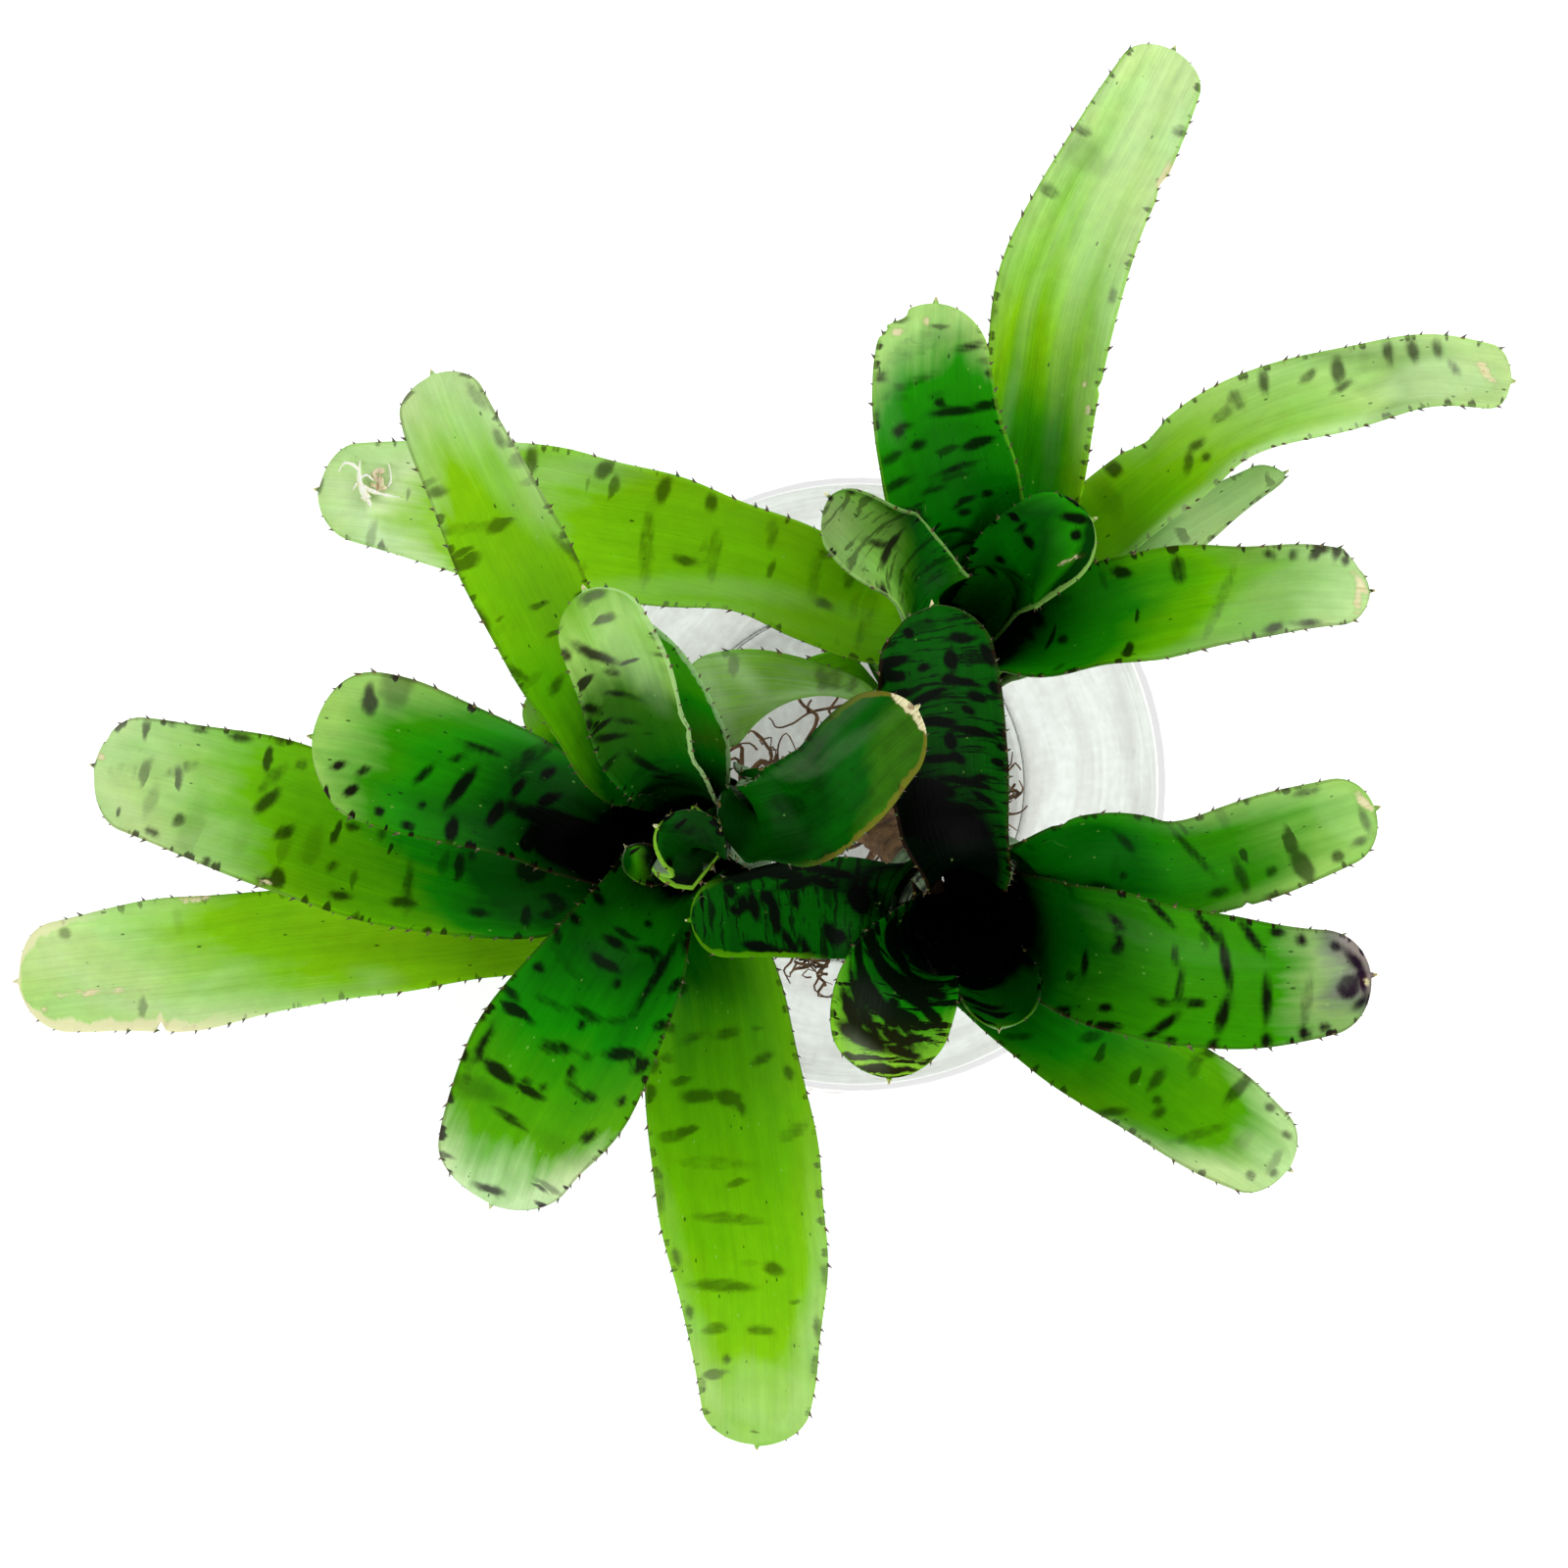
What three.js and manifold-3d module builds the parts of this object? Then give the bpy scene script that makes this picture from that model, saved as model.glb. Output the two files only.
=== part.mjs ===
// Neoregelia bromeliad: a clump of three leaf rosettes that runners join at the base,
// bare-rooted and standing in a round bowl of clear glass.
// Units are millimetres, +Z up. The origin is the middle of the bowl's foot, where it stands.

import * as THREE from 'three';
import { mergeVertices } from 'three/addons/utils/BufferGeometryUtils.js';
import Module from 'manifold-3d';

const wasm = await Module();
wasm.setup();

// ---------------------------------------------------------------- driving dimensions

const BOWL = {
  height: 75,
  footRadius: 45,
  rimRadius: 72, // outside, under the bead
  beadRadius: 73, // outside of the bead round the rim
  beadDepth: 2,
  beadRound: 0.6,
  lipWidth: 4.3, // across the bead
  wall: 3,
  floor: 3.5, // top of the glass floor
  floorRound: 1.5, // from the floor to the wall
  swell: 2.2, // how quickly the wall turns upright
  levels: [2, 8, 18, 32, 50, 70], // heights of the wall's rings
  sides: 36,
};

const CLEARANCE = 0.35; // gap between pieces that touch

// A rosette's stem rises from base towards top; throat is the radius of its innermost cup.
const ROSETTES = {
  left: { base: [-27, -8, 36], top: [-40.5, -12, 95], throat: 6 },
  front: { base: [16, -20, 36], top: [26, -33.5, 95], throat: 12 },
  back: { base: [17, 25, 36], top: [28.5, 42, 95], throat: 8 },
};

// Sheaths overlap round the stem. Layer 0 is the youngest and innermost.
const SHEATH = {
  outerLayer: 7,
  outerHeight: 3, // where a leaf of outerLayer grows from the stem, above the rosette's base
  heightStep: 2.4, // each younger layer grows this much higher
  innerRadius: 3, // of layer 0 where it grows from the stem
  innerRadiusStep: 0.35,
  throatStep: 1.75, // each older layer stands this much further out at the throat
  rise: 9, // height over which a sheath opens out to the throat
  firstStep: 5, // heights between its stations
  step: 9,
  leastStep: 4,
  baseWrap: 8, // degrees by which the sheath reaches further round at its base
  flare: 2.6, // how far the sheath opens above its top, where a leaf gives no flare of its own
  flareWrap: 4, // degrees by which its margins draw back there
  turnShare: 0.8, // where its sections begin to turn from the stem's direction to the leaf's
};

const LEAF = {
  middleThickness: 1.3,
  edgeThickness: 0.75,
  strips: 6, // facets across the leaf
  sheathRow: 10,
  bladeRow: 13, // one spine on each margin in each row
  tipRatio: 0.9, // length of the rounded tip, in half widths
  tipAngles: [32, 58, 78, 90], // rows round the tip
  spinedTipRows: 2,
  tipHalfWidth: 0.45, // blunt end of the tip
  samples: 12, // points worked out between two stations
};

const SPINE = {
  base: 2.4, // length along the margin
  share: 0.45, // or this share of a short row
  lean: 0.8, // the point leans towards the leaf tip
  height: 1.7,
  thinning: 0.6,
};

// One row for each leaf, oldest and youngest leaves mixed in the order they lie round a
// rosette. wrap is half the angle that the sheath takes round the stem. Each blade station
// is [x, y, z, half width, cup, roll]: a point of the midline, half the width over the
// curve of the leaf, the angle between the middle and the margin, and the turn about the
// midline. Lengths are in millimetres, angles in degrees.
const LEAVES = [
  { name: 'leaf_left_01', rosette: 'left', layer: 4, wrap: 44, sheathTop: 44, flare: 1.8, blade: [
    [-51, 5.5, 105, 10, 42, 0],
    [-56, 15, 120, 10.5, 38, 0],
    [-63, 29, 132, 11.5, 32, 0],
    [-69.5, 43, 143, 11.5, 28, 0],
    [-76, 57.5, 151, 10.5, 26, 0],
    [-82, 70, 152, 9, 24, 0],
    [-86, 80.5, 149, 7.5, 22, 0],
  ] },
  { name: 'leaf_left_02', rosette: 'left', layer: 2, wrap: 50, sheathTop: 50, flare: 2, blade: [
    [-43.5, 5, 127, 9.5, 52, 0],
    [-46, 12.5, 144, 10.5, 50, 0],
    [-47.5, 21, 159, 10.5, 46, 0],
    [-51, 29, 169, 9, 38, 0],
    [-54, 36, 173, 7.5, 32, 0],
  ] },
  { name: 'leaf_left_03', rosette: 'left', layer: 6, wrap: 46, sheathTop: 38, blade: [
    [-58, -12.5, 86.5, 11, 38, 0],
    [-68, -5.5, 101, 13, 40, 0],
    [-81.5, 0.5, 109, 15, 38, 0],
    [-96, 5.5, 113, 16.5, 30, 0],
    [-106, 8.5, 115, 15.5, 26, 0],
    [-116.5, 10, 114, 12.5, 24, 0],
  ] },
  { name: 'leaf_left_04', rosette: 'left', layer: 7, wrap: 50, sheathTop: 36, blade: [
    [-60.5, -19.5, 86, 12, 42, 0],
    [-73, -21, 92, 13.5, 38, 0],
    [-90, -18.5, 96, 15, 34, 0],
    [-106.5, -13.5, 98, 16.5, 28, 0],
    [-123.5, -7.5, 99, 16.5, 24, 0],
    [-141, -2.5, 97, 15, 22, 0],
    [-156.5, 1.5, 95, 13, 20, 0],
    [-169, 4, 92, 11, 20, 0],
  ] },
  { name: 'leaf_left_05', rosette: 'left', layer: 8, wrap: 50, sheathTop: 34, blade: [
    [-59, -26, 79, 10, 40, 0],
    [-69.5, -30, 83, 11, 36, 0],
    [-87, -33, 86, 11, 32, 0],
    [-104, -34.5, 88, 12, 28, 0],
    [-125.5, -36.5, 89, 13, 24, 0],
    [-147.5, -39.5, 88, 15, 22, 0],
    [-167.5, -41.5, 87, 13.5, 20, 0],
    [-188, -44, 85, 11, 18, 0],
  ] },
  { name: 'leaf_left_06', rosette: 'left', layer: 3, wrap: 58, sheathTop: 42, blade: [
    [-48, -29, 93.5, 12, 42, 0],
    [-53.5, -39.5, 101, 16.5, 42, 0],
    [-60.5, -52, 104, 19, 34, 0],
    [-67.5, -63.5, 104, 19.5, 28, 0],
    [-75, -76.5, 101, 16.5, 24, 0],
    [-81, -92, 96, 12.5, 22, 0],
  ] },
  { name: 'leaf_left_07', rosette: 'left', layer: 5, wrap: 48, sheathTop: 36, blade: [
    [-37.5, -32, 83, 12, 44, 0],
    [-33, -43.5, 88, 15.5, 40, 0],
    [-30, -65, 91, 18, 32, 0],
    [-27, -87, 90, 19, 28, 0],
    [-24, -109.5, 87, 17, 26, 0],
    [-23, -132, 83, 13.5, 24, 0],
    [-23, -149.5, 79, 10.5, 22, 0],
  ] },
  { name: 'leaf_left_08', rosette: 'left', layer: 6, wrap: 48, sheathTop: 38, blade: [
    [-21, -7.5, 116, 9, 42, 0],
    [-13.5, -5.5, 123, 12, 42, 0],
    [-6, 0, 140, 11.5, 34, 0],
    [0.5, 7.5, 153, 10.5, 28, 0],
    [8.5, 14.5, 161, 8.5, 24, 0],
  ] },
  { name: 'leaf_left_09', rosette: 'left', layer: 1, wrap: 54, sheathTop: 50, flare: 0.7, blade: [
    [-37, -13.5, 107, 9.5, 58, 0],
    [-38.5, -11.5, 117, 8.5, 60, 0],
    [-43, -9, 122, 6.5, 52, 0],
  ] },
  { name: 'leaf_left_10', rosette: 'left', layer: 9, wrap: 30, sheathTop: 30, blade: [
    [-55.5, 0, 74, 7.5, 34, 0],
    [-61, 7, 82, 8.5, 30, 0],
    [-66, 14, 86, 8.5, 28, 0],
    [-70, 23, 87, 7, 24, 0],
  ] },
  { name: 'leaf_left_11', rosette: 'left', layer: 3, wrap: 47, sheathTop: 46, flare: 2.2, blade: [
    [-33, 1.5, 96.5, 6, 38, 0],
    [-36.5, 11, 114, 7.5, 40, 0],
    [-41.5, 21, 129.5, 7, 36, 0],
    [-50, 31.5, 143, 5, 34, 0],
  ] },
  { name: 'leaf_left_12', rosette: 'left', layer: 0, wrap: 38, sheathTop: 48, flare: 0.1, blade: [
    [-46, -17.5, 107, 4.5, 38, 0],
    [-50, -13.5, 113, 4.5, 40, 0],
  ] },
  { name: 'leaf_front_01', rosette: 'front', layer: 2, wrap: 54, sheathTop: 46, blade: [
    [21.5, -17, 109, 10.5, 46, 0],
    [18, -6, 122, 12, 40, 0],
    [15.5, 6, 137, 13, 34, 0],
    [13.5, 18.5, 151, 12.5, 30, 0],
    [11.5, 34, 162, 9.5, 26, 0],
  ] },
  { name: 'leaf_front_02', rosette: 'front', layer: 3, wrap: 54, sheathTop: 42, blade: [
    [4.5, -27, 98, 11.5, 40, 0],
    [-5, -26.5, 103, 11.5, 34, 0],
    [-15.5, -27, 103, 10.5, 24, 0],
    [-26.5, -28.5, 102.5, 9, 20, 0],
    [-37, -29.5, 101, 8, 18, 0],
  ] },
  { name: 'leaf_front_03', rosette: 'front', layer: 1, wrap: 58, sheathTop: 48, flare: 1.6, blade: [
    [9, -37, 105.5, 10.5, 48, 0],
    [7, -41.5, 116, 13, 48, 0],
    [5.5, -48.5, 122, 13.5, 42, 0],
    [5, -61, 124, 10, 34, 0],
  ] },
  { name: 'leaf_front_04', rosette: 'front', layer: 0, wrap: 62, sheathTop: 48, flare: 0.2, blade: [
    [29.5, -45.5, 102, 10.5, 54, 0],
    [29, -52, 111, 10, 46, 0],
  ] },
  { name: 'leaf_front_05', rosette: 'front', layer: 4, wrap: 48, sheathTop: 40, blade: [
    [39.5, -19, 93, 11.5, 42, 10],
    [51, -17, 104, 12, 40, 6],
    [65, -18, 115, 11, 36, 0],
    [78, -14.5, 123, 11, 32, 0],
    [90, -10, 128, 10, 28, 0],
    [104.5, -5, 129, 8.5, 26, 0],
  ] },
  { name: 'leaf_front_06', rosette: 'front', layer: 1, wrap: 50, sheathTop: 44, blade: [
    [44.5, -35, 103, 14, 44, 0],
    [53.5, -37, 116, 15.5, 40, 0],
    [64, -39.5, 126, 15, 34, 0],
    [77, -40.5, 133, 13.5, 30, 0],
    [89, -40, 137, 11.5, 26, 0],
    [101.5, -38.5, 138, 9.5, 24, 0],
  ] },
  { name: 'leaf_front_07', rosette: 'front', layer: 3, wrap: 50, sheathTop: 38, blade: [
    [37.5, -49.5, 88, 12, 44, 0],
    [49.5, -56, 97, 13, 42, 0],
    [61.5, -63, 103, 13, 36, 0],
    [76, -72.5, 106, 12, 30, 0],
    [92, -83, 104, 8.5, 26, 0],
  ] },
  { name: 'leaf_back_01', rosette: 'back', layer: 5, wrap: 50, sheathTop: 38, blade: [
    [11.5, 36.5, 92, 12, 42, 0],
    [1.5, 37.5, 97, 12, 38, 0],
    [-10.5, 42.5, 102, 12, 36, 0],
    [-25, 48, 105, 12, 32, 0],
    [-40, 51.5, 106, 14, 28, 0],
    [-57, 54.5, 106, 15.5, 26, 0],
    [-74, 58, 104, 15.5, 24, 0],
    [-90, 60.5, 101, 14, 22, 0],
    [-104.5, 63, 99, 11.5, 20, 0],
    [-118.5, 64.5, 97, 9, 20, 0],
  ] },
  { name: 'leaf_back_02', rosette: 'back', layer: 2, wrap: 56, sheathTop: 46, blade: [
    [22, 55.5, 106, 13, 46, 0],
    [18, 63, 116, 15.5, 42, 0],
    [14.5, 73, 125, 14, 34, 0],
    [13.5, 83, 131, 12.5, 28, 0],
    [14, 97.5, 135, 10, 26, 0],
  ] },
  { name: 'leaf_back_03', rosette: 'back', layer: 3, wrap: 54, sheathTop: 40, blade: [
    [35, 58, 94, 12, 42, 0],
    [36.5, 70, 103, 12.5, 40, 0],
    [38, 85, 109, 13, 34, 0],
    [40.5, 102, 113, 13.5, 30, 0],
    [47, 119.5, 114, 12.5, 28, 0],
    [56, 136.5, 112, 11, 26, 0],
    [66.5, 157, 108, 8.5, 24, 0],
  ] },
  { name: 'leaf_back_04', rosette: 'back', layer: 4, wrap: 52, sheathTop: 38, blade: [
    [46, 50, 88, 11.5, 44, -15],
    [55.5, 57.5, 96, 11, 46, -20],
    [66.5, 66, 102, 10.5, 46, -25],
    [77, 74.5, 106, 10.5, 44, -25],
    [90, 80, 109, 10, 38, -18],
    [105.5, 84.5, 110, 9, 32, -10],
    [121.5, 88, 108, 8, 28, -4],
    [140, 87, 104, 6.5, 26, 0],
  ] },
  { name: 'leaf_back_05', rosette: 'back', layer: 5, wrap: 50, sheathTop: 32, blade: [
    [49, 43.5, 80, 10, 40, -22],
    [58.5, 47, 87, 9.5, 42, -34],
    [68.5, 53, 92, 9, 42, -40],
    [79.5, 60, 94, 7, 42, -48],
    [93, 68, 95, 5, 38, -50],
  ] },
  { name: 'leaf_back_06', rosette: 'back', layer: 2, wrap: 50, sheathTop: 42, blade: [
    [45, 32.5, 98, 13, 50, -15],
    [54, 35, 106, 13.5, 52, -22],
    [65.5, 38, 112, 12.5, 40, -10],
    [78.5, 40, 115, 10.5, 32, 0],
    [91.5, 41.5, 116, 9, 28, 0],
    [107, 41, 114, 7.5, 24, 0],
  ] },
  { name: 'leaf_back_07', rosette: 'back', layer: 1, wrap: 62, sheathTop: 46, flare: 0.8, blade: [
    [15, 35.5, 106, 12, 56, 0],
    [10.5, 40, 120, 11.5, 52, 20],
    [4.5, 46.5, 131, 10.5, 48, 30],
    [-1, 52, 137, 8.5, 42, -20],
    [-7.5, 58, 137, 7.5, 38, -45],
  ] },
  { name: 'leaf_back_08', rosette: 'back', layer: 0, wrap: 62, sheathTop: 48, flare: 0.4, blade: [
    [34, 48, 106, 11, 54, 0],
    [40, 51.5, 114, 11.5, 46, 0],
    [48, 55.5, 117, 9.5, 36, 0],
  ] },
  { name: 'leaf_back_09', rosette: 'back', layer: 6, wrap: 41, sheathTop: 28, blade: [
    [5.5, 21, 74.5, 9, 34, 10],
    [-2.5, 20.5, 84, 11, 40, 50],
    [-12.5, 19.5, 95, 12, 42, 95],
    [-25.5, 17.5, 100, 12.5, 34, 140],
    [-40, 15, 99, 11, 30, 160],
  ] },
];

// The stem narrows inside the sheaths, from the oldest leaf to the growing point.
const STEM = {
  sides: 10,
  rings: 7,
  baseRadius: 7,
  neckRadius: 4.7, // under the oldest sheath
  tipRadius: 1.7,
  neckHeight: -2.5, // measured as the sheaths are, from the rosette's base
  tipHeight: 20.5,
};

// Where each stem stands, low in the bowl.
const FEET = {
  left: [-15, -4, 10],
  front: [9, -11, 9],
  back: [8, 13, 11],
};

// Runners join the stems at this height above the table and sag between them.
const RUNNER = { radius: 3.1, sides: 8, rings: 6, sag: 4, height: 19 };

// Roots: which stem, direction in degrees, reach from the bowl's middle and end height.
const ROOT = {
  radius: 1.1,
  tipRadius: 0.6,
  sides: 5,
  rings: 9,
  wave: 3.5, // how far it swings to either side of its direction
  startHeight: 3, // above the foot of the stem
  courseShares: [0, 0.3, 0.5, 0.7, 0.85, 1], // where along the root its bends are
  lift: 0.4, // over the glass, besides the clearance
};
const ROOTS = [
  { stem: 'front', direction: -8, reach: 41, end: 7 },
  { stem: 'front', direction: -58, reach: 38, end: 7 },
  { stem: 'front', direction: -101, reach: 43, end: 13 },
  { stem: 'left', direction: -150, reach: 39, end: 8 },
  { stem: 'left', direction: 165, reach: 33, end: 6.5 },
  { stem: 'back', direction: 98, reach: 37, end: 9 },
  { stem: 'back', direction: 44, reach: 40, end: 8 },
];

// ---------------------------------------------------------------- materials

function finish(name, color, roughness, extra = {}) {
  return new THREE.MeshStandardMaterial({ name, color, roughness, metalness: 0, ...extra });
}

// Older leaves are paler: they have had more light and lost their dark centre colour.
function leafMaterial(leaf) {
  const youngest = new THREE.Color(0x1f5a22);
  const oldest = new THREE.Color(0x86b83c);
  const colour = youngest.lerp(oldest, leaf.layer / (SHEATH.outerLayer + 2));
  return finish(`${leaf.name}_green`, colour, 0.38);
}

function glassMaterial() {
  return finish('clear_glass', 0xe9f2f0, 0.05, { transparent: true, opacity: 0.3 });
}

function rootMaterial() {
  return finish('brown_bark', 0x6b4a2c, 0.9);
}

// ---------------------------------------------------------------- small helpers

const radians = THREE.MathUtils.degToRad;
const vector = (numbers) => new THREE.Vector3(...numbers);

function smooth(share) {
  const clamped = THREE.MathUtils.clamp(share, 0, 1);
  return clamped * clamped * (3 - 2 * clamped);
}

// The part of a vector that is square to an axis, at length 1.
function squareTo(axis, direction) {
  return direction.clone().addScaledVector(axis, -direction.dot(axis)).normalize();
}

function meshGeometry(vertices, triangles) {
  const geometry = new THREE.BufferGeometry();
  const positions = vertices.flatMap((vertex) => [vertex.x, vertex.y, vertex.z]);
  geometry.setAttribute('position', new THREE.Float32BufferAttribute(positions, 3));
  geometry.setIndex(triangles.flat());
  geometry.computeVertexNormals();
  return geometry;
}

function toSolid(geometry) {
  const bare = geometry.clone();
  bare.deleteAttribute('normal');
  bare.deleteAttribute('uv');
  const merged = mergeVertices(bare, 1e-4);
  return new wasm.Manifold(new wasm.Mesh({
    numProp: 3,
    vertProperties: new Float32Array(merged.attributes.position.array),
    triVerts: new Uint32Array(merged.index.array),
  }));
}

function fromSolid(solid) {
  const { vertProperties, triVerts } = solid.getMesh();
  const geometry = new THREE.BufferGeometry();
  geometry.setAttribute('position', new THREE.Float32BufferAttribute(vertProperties, 3));
  geometry.setIndex(Array.from(triVerts));
  geometry.computeVertexNormals();
  return geometry;
}

// ---------------------------------------------------------------- the course of a leaf

function rosetteAxis(rosette) {
  return vector(rosette.top).sub(vector(rosette.base)).normalize();
}

// The side of the stem that a leaf grows from: towards the start of its blade.
function leafSide(leaf, rosette, axis) {
  const start = vector(leaf.blade[0].slice(0, 3)).sub(vector(rosette.base));
  return squareTo(axis, start);
}

// Stations of the sheath, which clasps the stem as part of a cone that opens upwards.
function sheathStations(leaf, rosette, axis, side) {
  const foot = SHEATH.outerHeight + SHEATH.heightStep * (SHEATH.outerLayer - leaf.layer);
  const footRadius = SHEATH.innerRadius + SHEATH.innerRadiusStep * leaf.layer;
  const throatRadius = rosette.throat + SHEATH.throatStep * leaf.layer;
  const opening = throatRadius - footRadius;
  const radiusAt = (height) =>
    footRadius + opening * (1 - Math.exp(-(height - foot) / SHEATH.rise));

  const heights = [foot, foot + SHEATH.firstStep];
  while (heights.at(-1) + SHEATH.step < leaf.sheathTop) heights.push(heights.at(-1) + SHEATH.step);
  if (leaf.sheathTop - heights.at(-1) > SHEATH.leastStep) heights.push(leaf.sheathTop);

  const last = heights.at(-1);
  const station = (height, radius, wrap) => ({
    point: vector(rosette.base).addScaledVector(axis, height).addScaledVector(side, radius),
    shape: new THREE.Vector3(radians(wrap) * radius, wrap, 0),
  });
  const stations = heights.map((height) => {
    const share = (height - foot) / Math.max(1, last - foot);
    return station(height, radiusAt(height), leaf.wrap + SHEATH.baseWrap * (1 - share));
  });
  const flare = leaf.flare ?? SHEATH.flare;
  stations.push(station(last + SHEATH.step, radiusAt(last) + flare, leaf.wrap - SHEATH.flareWrap));
  return stations;
}

function bladeStations(leaf) {
  return leaf.blade.map(([x, y, z, halfWidth, cup, roll]) => ({
    point: new THREE.Vector3(x, y, z),
    shape: new THREE.Vector3(halfWidth, cup, roll),
  }));
}

// Direction of the midline at each sample.
function directions(points) {
  return points.map((point, index) => {
    const before = points[Math.max(index - 1, 0)];
    const after = points[Math.min(index + 1, points.length - 1)];
    return after.clone().sub(before).normalize();
  });
}

function runningLengths(points) {
  const lengths = [0];
  for (let i = 1; i < points.length; i += 1) {
    lengths.push(lengths[i - 1] + points[i].distanceTo(points[i - 1]));
  }
  return lengths;
}

// The whole midline: points, the direction square to each section, the leaf's upper side
// there, and the half width, cup and roll. The sheath's sections are square to the stem,
// and turn square to the midline and level with the ground where the blade begins.
function leafCourse(leaf) {
  const rosette = ROSETTES[leaf.rosette];
  const axis = rosetteAxis(rosette);
  const side = leafSide(leaf, rosette, axis);
  const sheath = sheathStations(leaf, rosette, axis, side);
  const stations = [...sheath, ...bladeStations(leaf)];
  const divisions = LEAF.samples * (stations.length - 1);

  const line = new THREE.CatmullRomCurve3(stations.map((s) => s.point), false, 'centripetal');
  const shapeLine = new THREE.CatmullRomCurve3(stations.map((s) => s.shape), false, 'catmullrom');
  const points = line.getPoints(divisions);
  const shapes = shapeLine.getPoints(divisions);
  const lengths = runningLengths(points);

  const sheathEnd = lengths[LEAF.samples * (sheath.length - 1)];
  const bladeStart = lengths[LEAF.samples * sheath.length];
  const levelFrom = lengths[LEAF.samples * (sheath.length + 1)] ?? lengths.at(-1);
  const up = new THREE.Vector3(0, 0, 1);
  const inward = side.clone().negate();
  const turnFrom = SHEATH.turnShare * sheathEnd;

  const along = [];
  const upper = [];
  directions(points).forEach((direction, index) => {
    const length = lengths[index];
    const turned = smooth((length - turnFrom) / (bladeStart - turnFrom));
    const levelled = smooth((length - sheathEnd) / (levelFrom - sheathEnd));
    const normal = axis.clone().lerp(direction, turned).normalize();
    const level = squareTo(direction, up);
    const facing = inward.clone().lerp(level, levelled);
    along.push(normal);
    upper.push(squareTo(normal, facing));
  });

  return {
    points,
    shapes,
    lengths,
    along,
    upper,
    length: lengths.at(-1),
    sheathEnd,
    tipLength: LEAF.tipRatio * shapes.at(-1).x,
  };
}

// The section of a leaf at a length along its midline.
function sectionAt(course, length) {
  const { lengths } = course;
  const found = lengths.findIndex((reached) => reached >= length);
  const last = lengths.length - 2;
  const index = found < 0 ? last : THREE.MathUtils.clamp(found - 1, 0, last);
  const share = (length - lengths[index]) / (lengths[index + 1] - lengths[index]);
  const between = (values) => values[index].clone().lerp(values[index + 1], share);

  const along = between(course.along).normalize();
  const upper = squareTo(along, between(course.upper));
  const right = along.clone().cross(upper);
  const shape = between(course.shapes);
  const roll = radians(shape.z);
  return {
    point: between(course.points),
    upper: upper.clone().multiplyScalar(Math.cos(roll)).addScaledVector(right, Math.sin(roll)),
    right: right.clone().multiplyScalar(Math.cos(roll)).addScaledVector(upper, -Math.sin(roll)),
    halfWidth: shape.x,
    cup: radians(shape.y),
  };
}

// The share of the full width that is left in the rounded tip.
function tipShare(course, length) {
  const intoTip = (length - (course.length - course.tipLength)) / course.tipLength;
  return intoTip > 0 ? Math.sqrt(Math.max(0, 1 - intoTip * intoTip)) : 1;
}

// A point of the leaf's middle sheet: across runs from -1 at the left margin to 1 at the right.
function sheetPoint(course, length, across) {
  const section = sectionAt(course, length);
  const width = Math.max(section.halfWidth * tipShare(course, length), LEAF.tipHalfWidth);
  const radius = section.halfWidth / section.cup;
  const angle = (width / section.halfWidth) * across * section.cup;
  const { upper, right } = section;
  return {
    point: section.point
      .addScaledVector(right, radius * Math.sin(angle))
      .addScaledVector(upper, radius * (1 - Math.cos(angle))),
    normal: upper.clone().multiplyScalar(Math.cos(angle)).addScaledVector(right, -Math.sin(angle)),
    outward: right.clone().multiplyScalar(Math.cos(angle)).addScaledVector(upper, Math.sin(angle)),
  };
}

// ---------------------------------------------------------------- the body of a leaf

function evenly(from, to, step, least) {
  const count = Math.max(least, Math.round((to - from) / step));
  return Array.from({ length: count }, (_, i) => from + ((to - from) * (i + 1)) / count);
}

// Lengths at which the leaf has a row of points, and whether a spine stands before each.
function leafRows(course) {
  const tipStart = course.length - course.tipLength;
  const rows = [{ length: 0, spined: false }];
  evenly(0, course.sheathEnd, LEAF.sheathRow, 2).forEach((length) => {
    rows.push({ length, spined: false });
  });
  evenly(course.sheathEnd, tipStart, LEAF.bladeRow, 1).forEach((length) => {
    rows.push({ length, spined: true });
  });
  LEAF.tipAngles.forEach((angle, index) => {
    const length = tipStart + course.tipLength * Math.sin(radians(angle));
    rows.push({ length, spined: index < LEAF.spinedTipRows });
  });
  return rows;
}

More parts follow.
